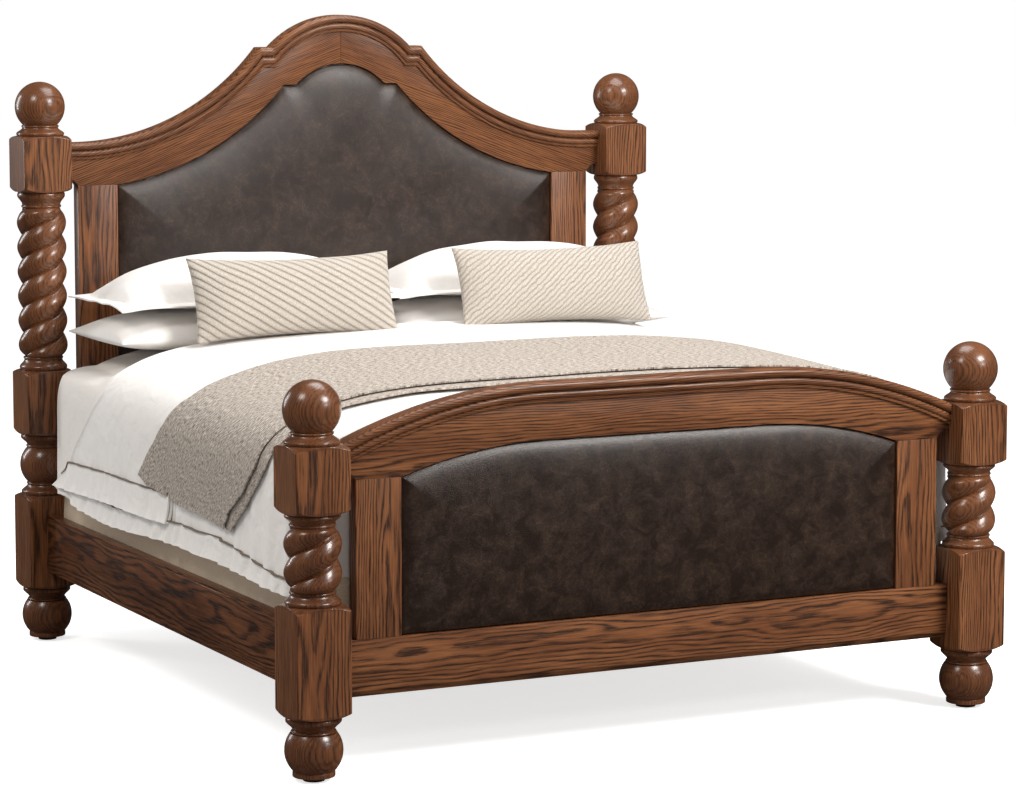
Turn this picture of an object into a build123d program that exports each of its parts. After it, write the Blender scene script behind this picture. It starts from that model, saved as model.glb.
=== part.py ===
"""King-size four-post bed in oak, with barley-twist posts, leather panels and its bedding.

X runs across the bed, +Y points to the head and Z is up from the floor. All sizes are in millimetres.
Each separate piece of the bed is written to its own STEP file.
"""

import math
import os

from build123d import *

# Driving dimensions of the bedstead
POST_X = 1000.0  # bed centre to post centre, across the bed
POST_Y = 1045.0  # bed centre to post centre, along the bed
BLOCK = 153.0  # side of the square blocks left on each turned post
BLOCK_RISE = 14.0  # height of the domed shoulder at each end of a block
BALL_RADIUS = 76.0
NECK_RADIUS = 54.0  # under and over a ball
TWIST_NECK_RADIUS = 58.0
COLLAR_RADIUS = 72.5  # widest part of the collar against a block
DOME_STEPS = ((COLLAR_RADIUS, 1.0), (92.0, 0.62), (120.0, 0.0))  # reach of a block's dome and its share of the rise
SPIGOT_RADIUS = 14.0
SPIGOT_LONG = 38.0
TURNED_SIDES = 16  # flat facets round a turned piece
BOARD_SET = -10.0  # front face of a head or foot board, measured from the post axis
BOARD_THICK = 42.0
MOULD_PROUD = 17.0  # how far the crest moulding stands in front of its board
MOULD_WIDTH = 53.0
CAP_WIDTH = 24.0  # outer bead of the crest moulding
STILE_INNER = 755.0
STILE_OUTER = 884.0
RAIL_BOTTOM = 203.0
RAIL_TOP = 355.0
TENON_HALF = 8.0  # half a tenon's thickness
TENON_LONG = 40.0
STUB_LONG = 25.0  # stub tenons at the ends of the stiles
STUB_INSET = 28.0  # from the edges of a stile to its stub tenon
RAIL_TENON = (235.0, 325.0)
CREST_TENON = (1432.0, 1520.0)
ARCH_TENON = (795.0, 850.0)

# Barley twist: two strands wound right-handed on one axis
TWIST_LEAD = 150.6  # rise of one strand in a full turn
STRAND_RADIUS = 61.5
STRAND_OFFSET = 13.5  # strand centre to post axis
TWIST_FADE = 24.0  # length over which a strand runs out at each end
TWIST_END_SCALE = 0.75
TWIST_RING = 7.0  # height of the thin ring at each end of a twist
TWIST_STEPS = 15  # rings of points in a full turn
STRAND_POINTS = 6  # points round one strand

# Levels along the posts
GLIDE_TOP = 12.0
FOOT_RING_TOP = 25.0
FOOT_BALL_Z = 79.7
FOOT_TOP = 132.0
LOW_BLOCK = (182.0, 443.0)
FOOT_TWIST = (492.0, 660.0)
FOOT_HIGH_BLOCK = (707.0, 855.0)
FOOT_TOP_NECK = 895.0
HEAD_BALL_Z = 549.0
HEAD_MID_BLOCK = (658.0, 829.0)
HEAD_TWIST = (883.0, 1343.0)
HEAD_HIGH_BLOCK = (1404.0, 1547.0)
HEAD_TOP_NECK = 1587.0
FOOT_TWIST_PHASE = 45.0  # direction of the first crest at the foot of the twist, in degrees
HEAD_TWIST_PHASE = 74.0

# Headboard crest: a dome between two concave sweeps, with a small ear where they meet
DOME_Z = 1589.0
DOME_RADIUS = 335.0
SWEEP_X = 880.0
SWEEP_Z = 2309.0
SWEEP_RADIUS = 771.0
EAR_Z = 1824.0
EAR_FALL = 1.2  # the ear drops this much for each millimetre inside the outline
HEAD_BAND = 142.0  # width of the crest board along the sweeps
PAD_DOME_Z = 1555.0
PAD_DOME_RADIUS = 215.0
PAD_EAR_Z = 1705.0

# Footboard arch: level in the middle, falling in a long arc to each post
ARCH_FLAT = 330.0
ARCH_TOP = 993.0
ARCH_RADIUS = 1450.0
ARCH_BAND = 152.0

# Leather pads, measured back from the face of their board
PAD_BACK = 22.0
PAD_BOARD_THICK = 12.0
PAD_GAP = 3.0  # all round, for the turned-in leather
PAD_CROWN = ((1.0, 6.0), (0.985, -3.0), (0.96, -8.0), (0.92, -11.0), (0.84, -13.0))
BACK_PANEL_THICK = 6.0
BACK_PANEL_LAP = 28.0

# Side rails, slats and their supports
SIDE_RAIL_OUTER = 1019.5
SIDE_RAIL_THICK = 32.0
SIDE_RAIL_BOTTOM = 223.0
SIDE_RAIL_TOP = 398.0
BEAD = 6.0
LEDGER_THICK = 25.0
LEDGER_TALL = 40.0
SLAT_THICK = 22.0
SLAT_WIDE = 90.0
SLAT_PITCH = 430.0
SLAT_COUNT = 5
LEG_SIDE = 42.0
LEG_GLIDE_TOP = 8.0
LEG_PLACES = (0.0, 430.0, 860.0)  # along the bed, none near the foot
CENTRE_BEAM_SIDE = 45.0
CENTRE_BEAM_BOTTOM = 206.0
HANGER_STEEL = 3.0  # steel angle under each end of the centre beam
HANGER_WIDE = 70.0
HANGER_SHELF = 30.0

# Bed hooks that carry each side rail on its posts
PLATE_THICK = 3.0
HOOK_PLATE = (20.0, 120.0)
HOOK_DEEP = 15.0
HOOK_TALL = 16.0
HOOK_LIP = 8.0
HOOK_LEVELS = (272.0, 332.0)

# Bedding
MATTRESS_X = 969.0
MATTRESS_END = 1003.0
MATTRESS_CORNER = 150.0
MATTRESS_BOTTOM = 511.0
MATTRESS_TOP = 845.0
MATTRESS_EDGE = 30.0
SPRING_BOTTOM = 285.5
SPRING_TOP = 510.0
SPRING_X = 975.0
DUVET_SIDE = ((1012.0, 700.0), (1006.0, 472.0))
DUVET_TOP = ((0, 957), (400, 953), (650, 943), (800, 922), (900, 897), (965, 872), (1000, 815))
DUVET_INSIDE = ((980, 472), (976, 700), (970, 830), (938, 849), (0, 849))
DUVET_SLOPE = 0.025  # the bed top falls towards the foot
DUVET_DIP = 42.0  # how far the pillows press it down
DIP_FROM = 530.0
DIP_TO = 620.0
BETWEEN_POSTS_X = 885.0
BETWEEN_POSTS_Y = 961.0
THROW_THICK = 14.0
THROW_NEAR = -715.0
THROW_FAR = -40.0
THROW_SKEW = 120.0  # the hanging ends swing this far towards the head
THROW_HEM = 612.0
THROW_GAP = 4.0  # between the throw and the duvet
THROW_LEAN = (0, 0, 0, 0.3, 0.6, 0.85, 1, 1, 1)  # share of its thickness that stands out sideways, middle to hem
PILLOW_POINTS = 12
PILLOW_RINGS = 9

BLOCK_HALF = BLOCK / 2
POST_FACE_X = POST_X - BLOCK_HALF
POST_FACE_Y = POST_Y - BLOCK_HALF
HEAD_FACE = POST_Y + BOARD_SET
FOOT_FACE = -POST_Y + BOARD_SET
SIDES = {"left": -1, "right": 1}
made = {}


def rounds(profile, sides=TURNED_SIDES):
    """Rings of points round Z through a profile of points (r, z), leaving out points too close together."""
    kept = [profile[0]]
    kept += [p for last, p in zip(profile, profile[1:]) if math.dist(last, p) > 1]
    angles = [2 * math.pi * i / sides for i in range(sides)]
    return [[(r * math.cos(a), r * math.sin(a), z) for a in angles] for r, z in kept]


def turned(profile, sides=TURNED_SIDES):
    """Turned solid, in flat facets that keep the mesh light."""
    return skin(rounds(profile, sides))


def skin(rings):
    """Closed solid through rings of points: flat triangles between rings and a flat face over each end."""
    faces = [Face(Wire.make_polygon(rings[0])), Face(Wire.make_polygon(rings[-1]))]
    for low, high in zip(rings, rings[1:]):
        for i in range(len(low)):
            j = (i + 1) % len(low)
            faces.append(Face(Wire.make_polygon([low[i], low[j], high[j]])))
            faces.append(Face(Wire.make_polygon([low[i], high[j], high[i]])))
    solid = Solid(Shell(faces))
    return solid if solid.volume > 0 else -solid


def slab(x0, x1, y0, y1, z0, z1):
    """Box between two corners."""
    return Pos((x0 + x1) / 2, (y0 + y1) / 2, (z0 + z1) / 2) * Box(abs(x1 - x0), abs(y1 - y0), abs(z1 - z0))


def board(edges, y0, y1):
    """Flat board: an outline in the XZ plane made as thick as y0 to y1."""
    return extrude(Face(Wire(edges)).moved(Pos(0, y0, 0)), amount=y1 - y0, dir=(0, 1, 0))


def mirrored(piece):
    """The same piece on the other side of the bed."""
    return mirror(piece, about=Plane.YZ)


def line(x0, z0, x1, z1):
    return Line((x0, 0, z0), (x1, 0, z1))


def circle_z(centre, radius, x, above):
    """Height of a circle in the XZ plane at x, on its upper or lower half."""
    rise = math.sqrt(radius**2 - (x - centre[0]) ** 2)
    return centre[1] + rise if above else centre[1] - rise


def arc(centre, radius, x0, x1, above):
    """Arc of a circle in the XZ plane from x0 to x1, on its upper or lower half."""
    points = [(x, 0, circle_z(centre, radius, x, above)) for x in (x0, (x0 + x1) / 2, x1)]
    return ThreePointArc(*points)


# Turned posts


def twist(low, high, phase):
    """Two-strand barley twist between two levels, its strands running out at the ends."""
    groove = math.sqrt(STRAND_RADIUS**2 - STRAND_OFFSET**2)
    half = math.atan2(groove, -STRAND_OFFSET)
    strand = [-half + 2 * half * i / STRAND_POINTS for i in range(STRAND_POINTS)]
    section = []
    for side in (0, math.pi):
        for a in strand:
            x = STRAND_OFFSET + STRAND_RADIUS * math.cos(a)
            y = STRAND_RADIUS * math.sin(a)
            section.append((math.hypot(x, y), math.atan2(y, x) + side))
    steps = round((high - low) / TWIST_LEAD * TWIST_STEPS)
    rings = []
    for i in range(steps + 1):
        z = low + (high - low) * i / steps
        inside = min(1.0, min(z - low, high - z) / TWIST_FADE)
        scale = TWIST_END_SCALE + (1 - TWIST_END_SCALE) * math.sqrt(1 - (1 - inside) ** 2)
        turn = math.radians(phase) + 2 * math.pi * (z - low) / TWIST_LEAD
        rings.append([(scale * r * math.cos(a + turn), scale * r * math.sin(a + turn), z) for r, a in section])
    return skin(rings)


def block(levels):
    """Rings of a square block with its ends turned to a dome. The levels are those of its corners."""
    angles = [2 * math.pi * i / TURNED_SIDES for i in range(TURNED_SIDES)]
    square = [BLOCK_HALF / max(abs(math.cos(a)), abs(math.sin(a))) for a in angles]
    half = (levels[1] - levels[0]) / 2
    middle = (levels[0] + levels[1]) / 2
    rings = []
    for side, steps in ((-1, DOME_STEPS), (1, DOME_STEPS[::-1])):
        for dome, rise in steps:
            z = middle + side * (half + rise * BLOCK_RISE)
            reach = [min(dome, r) for r in square]
            rings.append([(r * math.cos(a), r * math.sin(a), z) for r, a in zip(reach, angles)])
    return rings


def collar(block_z, neck_z, neck_radius=NECK_RADIUS):
    """Profile of a bell-shaped collar from the end of a block to a neck."""
    steps = ((COLLAR_RADIUS - 1, 0.3), ((COLLAR_RADIUS + neck_radius) / 2, 0.62), (neck_radius, 1))
    return [(r, block_z + (neck_z - block_z) * share) for r, share in steps]


def ring(z0, z1, radius):
    """Profile of a thin ring round a neck."""
    return [(radius - 4, z0), (radius, (z0 + z1) / 2), (radius - 4, z1)]


def twist_neck(block_z, twist_z, side):
    """Rings from a block's dome to the end of a twist, which lies above the block (-1) or below it (1)."""
    neck_z = twist_z + side * TWIST_RING
    parts = collar(block_z, neck_z, TWIST_NECK_RADIUS) + ring(neck_z, twist_z, TWIST_NECK_RADIUS + 3)
    return rounds(parts if side < 0 else parts[::-1])


def ball(centre, low, high, steps=7):
    """Profile of a ball between two levels."""
    start, end = (math.asin((z - centre) / BALL_RADIUS) for z in (low, high))
    turns = [start + (end - start) * i / steps for i in range(steps + 1)]
    return [(BALL_RADIUS * math.cos(t), centre + BALL_RADIUS * math.sin(t)) for t in turns]


def spigot(z0, z1):
    return turned([(SPIGOT_RADIUS, z0), (SPIGOT_RADIUS, z1)], 12)


def sockets(top):
    """Blind sockets for the spigots of the ball foot and of the finial."""
    return [spigot(FOOT_TOP - 1, FOOT_TOP + SPIGOT_LONG), spigot(top - SPIGOT_LONG, top + 1)]


def shoulders(levels):
    """Levels of the two ends of a block's domes."""
    return levels[0] - BLOCK_RISE, levels[1] + BLOCK_RISE


def foot_post():
    """Foot post: block, short twist, block."""
    low, high = FOOT_TWIST
    first, second = shoulders(LOW_BLOCK), shoulders(FOOT_HIGH_BLOCK)
    below = rounds(collar(first[0], FOOT_TOP)[::-1]) + block(LOW_BLOCK)
    below += twist_neck(first[1], low, -1)
    above = twist_neck(second[0], high, 1) + block(FOOT_HIGH_BLOCK)
    above += rounds(collar(second[1], FOOT_TOP_NECK))
    return skin(below) + twist(low, high, FOOT_TWIST_PHASE) + skin(above) - sockets(FOOT_TOP_NECK)


def head_post():
    """Head post: block, ball, block, long twist, block."""
    low, high = HEAD_TWIST
    ball_low, ball_high = HEAD_BALL_Z - 55, HEAD_BALL_Z + 55
    first, second, third = (shoulders(levels) for levels in (LOW_BLOCK, HEAD_MID_BLOCK, HEAD_HIGH_BLOCK))
    ball_part = collar(first[1], ball_low - 6) + ring(ball_low - 6, ball_low, 57)
    ball_part += ball(HEAD_BALL_Z, ball_low, ball_high)
    ball_part += ring(ball_high, ball_high + 6, 57) + collar(second[0], ball_high + 6)[::-1]
    below = rounds(collar(first[0], FOOT_TOP)[::-1]) + block(LOW_BLOCK) + rounds(ball_part)
    below += block(HEAD_MID_BLOCK) + twist_neck(second[1], low, -1)
    above = twist_neck(third[0], high, 1) + block(HEAD_HIGH_BLOCK)
    above += rounds(collar(third[1], HEAD_TOP_NECK))
    return skin(below) + twist(low, high, HEAD_TWIST_PHASE) + skin(above) - sockets(HEAD_TOP_NECK)


def finial(neck_z):
    """Ball finial with the ring at its neck and the spigot that holds it."""
    ball_z = neck_z + 63
    top = ball_z + BALL_RADIUS
    body = turned(ring(neck_z, neck_z + 7, 57) + ball(ball_z, neck_z + 7, top - 0.4, 8))
    return Part() + [body, spigot(neck_z - SPIGOT_LONG, neck_z)]


def ball_foot():
    """Ball foot on a flat ring, with its spigot."""
    flat = [(54.5, GLIDE_TOP), (54.5, FOOT_RING_TOP)]
    body = turned(flat + ball(FOOT_BALL_Z, FOOT_RING_TOP, FOOT_TOP - 6) + ring(FOOT_TOP - 5, FOOT_TOP, 59))
    return Part() + [body, spigot(FOOT_TOP, FOOT_TOP + SPIGOT_LONG)]


# Outlines of the boards, drawn on the right-hand half


def crest_ends(inset):
    """Where the dome and the sweep meet the ear, at a distance inside the crest outline."""
    level = EAR_Z - EAR_FALL * inset
    dome_x = math.sqrt((DOME_RADIUS - inset) ** 2 - (level - DOME_Z) ** 2)
    sweep_x = SWEEP_X - math.sqrt((SWEEP_RADIUS + inset) ** 2 - (SWEEP_Z - level) ** 2)
    return level, dome_x, sweep_x


def crest_line(inset):
    """Crest outline from the centre to the post, at a distance inside the outer edge."""
    level, dome_x, sweep_x = crest_ends(inset)
    foot = SWEEP_Z - SWEEP_RADIUS - inset
    return [
        arc((0, DOME_Z), DOME_RADIUS - inset, 0, dome_x, True),
        line(dome_x, level, sweep_x, level),
        arc((SWEEP_X, SWEEP_Z), SWEEP_RADIUS + inset, sweep_x, SWEEP_X, False),
        line(SWEEP_X, foot, POST_FACE_X, foot),
    ]


def arch_line(inset):
    """Footboard arch from the centre to the post, at a distance inside the outer edge."""
    centre = (ARCH_FLAT, ARCH_TOP - ARCH_RADIUS)
    return [
        line(0, ARCH_TOP - inset, ARCH_FLAT, ARCH_TOP - inset),
        arc(centre, ARCH_RADIUS - inset, ARCH_FLAT, POST_FACE_X, True),
    ]


def head_opening():
    """Edge of the headboard's leather, from the stile up to the centre."""
    sweep = (SWEEP_X, SWEEP_Z)
    radius = SWEEP_RADIUS + HEAD_BAND
    ear_out = SWEEP_X - math.sqrt(radius**2 - (SWEEP_Z - PAD_EAR_Z) ** 2)
    ear_in = math.sqrt(PAD_DOME_RADIUS**2 - (PAD_EAR_Z - PAD_DOME_Z) ** 2)
    return [
        arc(sweep, radius, STILE_INNER, ear_out, False),
        line(ear_out, PAD_EAR_Z, ear_in, PAD_EAR_Z),
        arc((0, PAD_DOME_Z), PAD_DOME_RADIUS, ear_in, 0, True),
    ]


def foot_opening():
    """Edge of the footboard's leather, from the stile up to the centre."""
    centre = (ARCH_FLAT, ARCH_TOP - ARCH_RADIUS)
    level = ARCH_TOP - ARCH_BAND
    return [
        arc(centre, ARCH_RADIUS - ARCH_BAND, STILE_INNER, ARCH_FLAT, True),
        line(ARCH_FLAT, level, 0, level),
    ]


HEAD_SEAM = circle_z((SWEEP_X, SWEEP_Z), SWEEP_RADIUS + HEAD_BAND, STILE_INNER, False)
FOOT_SEAM = circle_z((ARCH_FLAT, ARCH_TOP - ARCH_RADIUS), ARCH_RADIUS - ARCH_BAND, STILE_INNER, True)


def top_board(outline, opening, seam, face, tenon):
    """Right half of a crest or arch board, with its tenon, its stub mortise and the cove beside the post."""
    top_end = outline[-1] @ 1
    cove = POST_FACE_X - STILE_OUTER
    edges = outline + [
        line(POST_FACE_X, top_end.Z, POST_FACE_X, seam + cove * 0.6),
        ThreePointArc(
            (POST_FACE_X, 0, seam + cove * 0.6),
            (STILE_OUTER + cove * 0.35, 0, seam + cove * 0.42),
            (STILE_OUTER, 0, seam),
        ),
        line(STILE_OUTER, seam, STILE_INNER, seam),
        *opening,
        line(0, (opening[-1] @ 1).Z, 0, (outline[0] @ 0).Z),
    ]
    middle = face + BOARD_THICK / 2
    tongue = slab(POST_FACE_X, POST_FACE_X + TENON_LONG, middle - TENON_HALF, middle + TENON_HALF, *tenon)
    return board(edges, face, face + BOARD_THICK) + tongue - stile_stub(face, seam, seam + STUB_LONG)


def stile_stub(face, z0, z1):
    """Stub tenon in the middle of a stile's width."""
    middle = face + BOARD_THICK / 2
    x0, x1 = STILE_INNER + STUB_INSET, STILE_OUTER - STUB_INSET
    return slab(x0, x1, middle - TENON_HALF, middle + TENON_HALF, z0, z1)


def stile(face, seam):
    """Right stile with a stub tenon at each end."""
    upright = slab(STILE_INNER, STILE_OUTER, face, face + BOARD_THICK, RAIL_TOP, seam)
    return Part() + [
        upright,
        stile_stub(face, seam, seam + STUB_LONG),
        stile_stub(face, RAIL_TOP - STUB_LONG, RAIL_TOP),
    ]


def bottom_rail(face):
    """Rail between two posts, bevelled along its lower front edge."""
    rail = slab(-POST_FACE_X, POST_FACE_X, face, face + BOARD_THICK, RAIL_BOTTOM, RAIL_TOP)
    edge = rail.edges().filter_by(Axis.X).sort_by(Axis.Y)[:2].sort_by(Axis.Z)[0]
    rail = chamfer(edge, 18)
    middle = face + BOARD_THICK / 2
    reach = POST_FACE_X + TENON_LONG
    tongue = slab(-reach, reach, middle - TENON_HALF, middle + TENON_HALF, *RAIL_TENON)
    stub = stile_stub(face, RAIL_TOP - STUB_LONG, RAIL_TOP)
    return rail + tongue - [stub, mirrored(stub)]


def moulding(line_at, face):
    """Right half of the crest moulding: a deep outer bead and a shallower step inside it."""
    bead = board(closed_band(line_at(0), line_at(CAP_WIDTH)), face - MOULD_PROUD, face)
    step = board(closed_band(line_at(CAP_WIDTH), line_at(MOULD_WIDTH)), face - MOULD_PROUD * 0.6, face)
    return bead + step


def closed_band(outer, inner):
    """Outline between two lines that run from the centre to the post."""
    o0, o1, i0, i1 = outer[0] @ 0, outer[-1] @ 1, inner[0] @ 0, inner[-1] @ 1
    return outer + [Line(o1, i1)] + inner + [Line(i0, o0)]


# Leather pads and the boards behind them


def opening_points(opening, spans):
    """Points round a whole opening: the right edge, its mirror image, and the two lower corners."""
    right = []
    for edge, count in zip(opening, spans):
        right += [edge @ (i / count) for i in range(count)]
    right = [(p.X, p.Z) for p in right]
    top = (0.0, (opening[-1] @ 1).Z)
    left = [(-x, z) for x, z in reversed(right)]
    return right + [top] + left + [(-STILE_INNER, RAIL_TOP), (STILE_INNER, RAIL_TOP)]


def pad(points, middle_z, face):
    """Upholstered pad: leather over foam, sunk at its edge and crowned over the middle."""
    rings = [[(x, face + PAD_BACK, z) for x, z in points]]
    for scale, depth in PAD_CROWN:
        rings.append([(x * scale, face + depth, middle_z + (z - middle_z) * scale) for x, z in points])
    return skin(rings)


def flat_panel(points, y0, y1):
    """Plywood panel with the outline of a pad."""
    outline = Face(Wire.make_polygon([(x, y0, z) for x, z in points]))
    return extrude(outline, amount=y1 - y0, dir=(0, 1, 0))


def grown(points, middle_z, lap):
    """The outline of a pad made larger by a lap on every side."""
    wide = 1 + lap / STILE_INNER
    tall = 1 + lap / (middle_z - RAIL_TOP)
    return [(x * wide, middle_z + (z - middle_z) * tall) for x, z in points]


# Bedding


def cover_z(row, y):
    """Height of a point of the duvet's top, which falls to the foot and is pressed down by the pillows."""
    x, z = row
    pressed = min(1.0, max(0.0, (y - DIP_FROM) / (DIP_TO - DIP_FROM))) * (1.0 if x < 850 else 0.4)
    return z + DUVET_SLOPE * y - DUVET_DIP * pressed


def both_sides(half, y):
    """Closed outline across the bed from the half on the right, which runs from the middle back to the middle."""
    right = [(x, y, z) for x, z in half]
    left = [(-x, y, z) for x, z in reversed(half[1:-1])]
    return right + left


def duvet():
    """Duvet over the mattress, hanging down both sides. Between the posts it only lies on the top."""
    wide, ends = [], []
    for y in (-BETWEEN_POSTS_Y, DIP_FROM, DIP_TO, BETWEEN_POSTS_Y):
        top = [(x, cover_z((x, z), y)) for x, z in DUVET_TOP]
        wide.append(both_sides(top + list(DUVET_SIDE + DUVET_INSIDE), y))
    for side in (-1, 1):
        rings = []
        for y in (BETWEEN_POSTS_Y, MATTRESS_END):
            top = [(x, cover_z((x, z), side * y)) for x, z in DUVET_TOP[:4]]
            edge = [(BETWEEN_POSTS_X, cover_z((BETWEEN_POSTS_X, 897), side * y)), (BETWEEN_POSTS_X, 849), (0, 849)]
            rings.append(both_sides(top + edge, side * y))
        ends.append(skin(rings))
    return skin(wide) + ends


def throw():
    """Folded throw laid across the bed, hanging down both sides with its ends swung to the head."""
    rows = list(DUVET_TOP) + [DUVET_SIDE[0], (DUVET_SIDE[0][0] - 1, THROW_HEM)]
    half = []
    for i, (row, lean) in enumerate(zip(rows, THROW_LEAN)):
        swing = THROW_SKEW * max(0, i - 4) / (len(rows) - 5)
        half.append((row, swing, lean))
    under, over = THROW_GAP, THROW_GAP + THROW_THICK
    rings = []
    for side, order in ((-1, list(reversed(half))), (1, half[1:])):
        for row, swing, lean in order:
            hanging = row[1] <= DUVET_SIDE[0][1]
            corners = []
            for away, y in ((under, THROW_NEAR), (under, THROW_FAR), (over, THROW_FAR), (over, THROW_NEAR)):
                z = row[1] if hanging else cover_z(row, y) + away * (1 - 0.6 * lean)
                corners.append((side * (row[0] + away * lean), y + swing, z))
            rings.append(corners)
    return skin(rings)


def pillow(long, deep, thick, point, squash=0.0):
    """Stuffed pillow lying flat: crowned, with its long sides drawn in and its corners pointed.

    A post beside the pillow squashes its far corner by a length taken off that end's depth.
    """
    rings = []
    for i in range(PILLOW_RINGS):
        u = math.sin(math.pi / 2 * (-1 + 2 * i / (PILLOW_RINGS - 1)))
        half_deep = deep / 2 * (0.93 + 0.07 * u * u)
        half_thick = max(point, thick / 2 * (1 - abs(u) ** 2.6) ** 0.6)
        ring_points = []
        for k in range(PILLOW_POINTS):
            a = 2 * math.pi * k / PILLOW_POINTS
            c, s = math.cos(a), math.sin(a)
            y = half_deep * c if u < 0.9 else min(half_deep * c, deep / 2 - squash)
            ring_points.append((u * long / 2, y, half_thick * s * abs(s) ** 0.3))
        rings.append(ring_points)
    return skin(rings)


def keep(name, piece):
    made[name] = piece


# Fittings of the posts


def hook_sets(side, end):
    """Hook plate with its two hooks, post plate with its slots, and the pocket behind it, for one corner."""
    x = side * (SIDE_RAIL_OUTER - SIDE_RAIL_THICK / 2)
    face = end * POST_FACE_Y
    wide, tall = HOOK_PLATE
    low = sum(HOOK_LEVELS) / 2 - tall / 2
    plate = slab(x - wide / 2, x + wide / 2, face - end * PLATE_THICK, face, low, low + tall)
    cover = slab(x - wide / 2, x + wide / 2, face, face + end * PLATE_THICK, low, low + tall)
    hooks, slots = [], []
    for z in HOOK_LEVELS:
        tip = face + end * HOOK_DEEP
        hooks.append(slab(x - 1.5, x + 1.5, face, tip, z, z + HOOK_TALL))
        hooks.append(slab(x - 1.5, x + 1.5, tip - end * 6, tip, z - HOOK_LIP, z))
        slots.append(slab(x - 3, x + 3, face, face + end * PLATE_THICK, z - HOOK_LIP - 4, z + HOOK_TALL + 4))
    pocket = slab(x - 7, x + 7, face, face + end * (HOOK_DEEP + 6), low + 8, low + tall - 8)
    return plate + hooks, cover - slots, pocket + cover, plate


def fitted_post(shaft, side, end, tenons):
    """A post set in its corner, cut for the rails that meet it."""
    face = HEAD_FACE if end > 0 else FOOT_FACE
    middle = face + BOARD_THICK / 2
    cuts = [hook_sets(side, end)[2]]
    for z0, z1 in tenons:
        near, far = side * POST_FACE_X, side * (POST_FACE_X + TENON_LONG)
        cuts.append(slab(near, far, middle - TENON_HALF, middle + TENON_HALF, z0, z1))
    return Pos(side * POST_X, end * POST_Y, 0) * shaft - cuts


# Posts, with mortises cut for the tenons and pockets for the bed hooks
shafts = {"head": (head_post(), 1, (RAIL_TENON, CREST_TENON)), "foot": (foot_post(), -1, (RAIL_TENON, ARCH_TENON))}
tops = {"head": HEAD_TOP_NECK, "foot": FOOT_TOP_NECK}
hooks_made, plates_made, glides = [], [], []
for place, (shaft, end, tenons) in shafts.items():
    for side_name, side in SIDES.items():
        corner = Pos(side * POST_X, end * POST_Y, 0)
        keep(f"{place}_post_{side_name}", fitted_post(shaft, side, end, tenons))
        keep(f"{place}_finial_{side_name}", corner * finial(tops[place]))
        keep(f"{place}_ball_foot_{side_name}", corner * ball_foot())
        hooks_made.append(hook_sets(side, end)[0])
        plates_made.append(hook_sets(side, end)[1])
        glides.append(corner * turned([(28, 0), (28, GLIDE_TOP)], 16))
keep("rail_hooks", Compound(children=hooks_made))
keep("post_plates", Compound(children=plates_made))

# Headboard
crest = top_board(crest_line(0), head_opening(), HEAD_SEAM, HEAD_FACE, CREST_TENON)
crest_moulding = moulding(crest_line, HEAD_FACE)
head_stile = stile(HEAD_FACE, HEAD_SEAM)
for side_name, side in SIDES.items():
    place = mirrored if side < 0 else (lambda piece: piece)
    keep(f"headboard_crest_{side_name}", place(crest))
    keep(f"crest_moulding_{side_name}", place(crest_moulding))
    keep(f"headboard_stile_{side_name}", place(head_stile))
keep("headboard_bottom_rail", bottom_rail(HEAD_FACE))

# Footboard
arch = top_board(arch_line(0), foot_opening(), FOOT_SEAM, FOOT_FACE, ARCH_TENON)
arch_moulding = moulding(arch_line, FOOT_FACE)
foot_stile = stile(FOOT_FACE, FOOT_SEAM)
keep("footboard_arch", arch + mirrored(arch))
keep("arch_moulding", arch_moulding + mirrored(arch_moulding))
keep("footboard_stile_right", foot_stile)
keep("footboard_stile_left", mirrored(foot_stile))
keep("footboard_bottom_rail", bottom_rail(FOOT_FACE))

# Pads, pad boards and back panels of both boards
boards = {
    "headboard": (opening_points(head_opening(), (9, 1, 5)), 1000.0, HEAD_FACE),
    "footboard": (opening_points(foot_opening(), (8, 2)), 600.0, FOOT_FACE),
}
for name, (points, middle_z, face) in boards.items():
    back = face + BOARD_THICK
    inner = grown(points, middle_z, -PAD_GAP)
    keep(f"{name}_leather_pad", pad(inner, middle_z, face))
    keep(f"{name}_pad_board", flat_panel(inner, face + PAD_BACK, face + PAD_BACK + PAD_BOARD_THICK))
    keep(f"{name}_back_panel", flat_panel(grown(points, middle_z, BACK_PANEL_LAP), back, back + BACK_PANEL_THICK))

# Side rails, ledgers, slats, and the centre beam on its legs
rail_inner = SIDE_RAIL_OUTER - SIDE_RAIL_THICK
plate_cuts = [hook_sets(1, end)[3] for end in (-1, 1)]
side_rail = slab(rail_inner, SIDE_RAIL_OUTER, -POST_FACE_Y, POST_FACE_Y, SIDE_RAIL_BOTTOM, SIDE_RAIL_TOP)
side_rail -= slab(SIDE_RAIL_OUTER - 2, SIDE_RAIL_OUTER, -POST_FACE_Y, POST_FACE_Y, SIDE_RAIL_TOP - BEAD - 3,
                  SIDE_RAIL_TOP - BEAD)
side_rail -= plate_cuts
ledger_top = SIDE_RAIL_BOTTOM + LEDGER_TALL
ledger = slab(rail_inner - LEDGER_THICK, rail_inner, -POST_FACE_Y + 20, POST_FACE_Y - 20, SIDE_RAIL_BOTTOM,
              ledger_top)
keep("side_rail_right", side_rail)
keep("side_rail_left", mirrored(side_rail))
keep("ledger_right", ledger)
keep("ledger_left", mirrored(ledger))
for i in range(SLAT_COUNT):
    y = SLAT_PITCH * (i - (SLAT_COUNT - 1) / 2)
    slat_x = rail_inner - 2
    slat = slab(-slat_x, slat_x, y - SLAT_WIDE / 2, y + SLAT_WIDE / 2, ledger_top, ledger_top + SLAT_THICK)
    keep(f"slat_{i + 1}", slat)
for i, y in enumerate(LEG_PLACES):
    half = LEG_SIDE / 2
    keep(f"support_leg_{i + 1}", slab(-half, half, y - half, y + half, LEG_GLIDE_TOP, CENTRE_BEAM_BOTTOM))
    glides.append(Pos(0, y, 0) * turned([(15, 0), (15, LEG_GLIDE_TOP)], 12))
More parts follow.
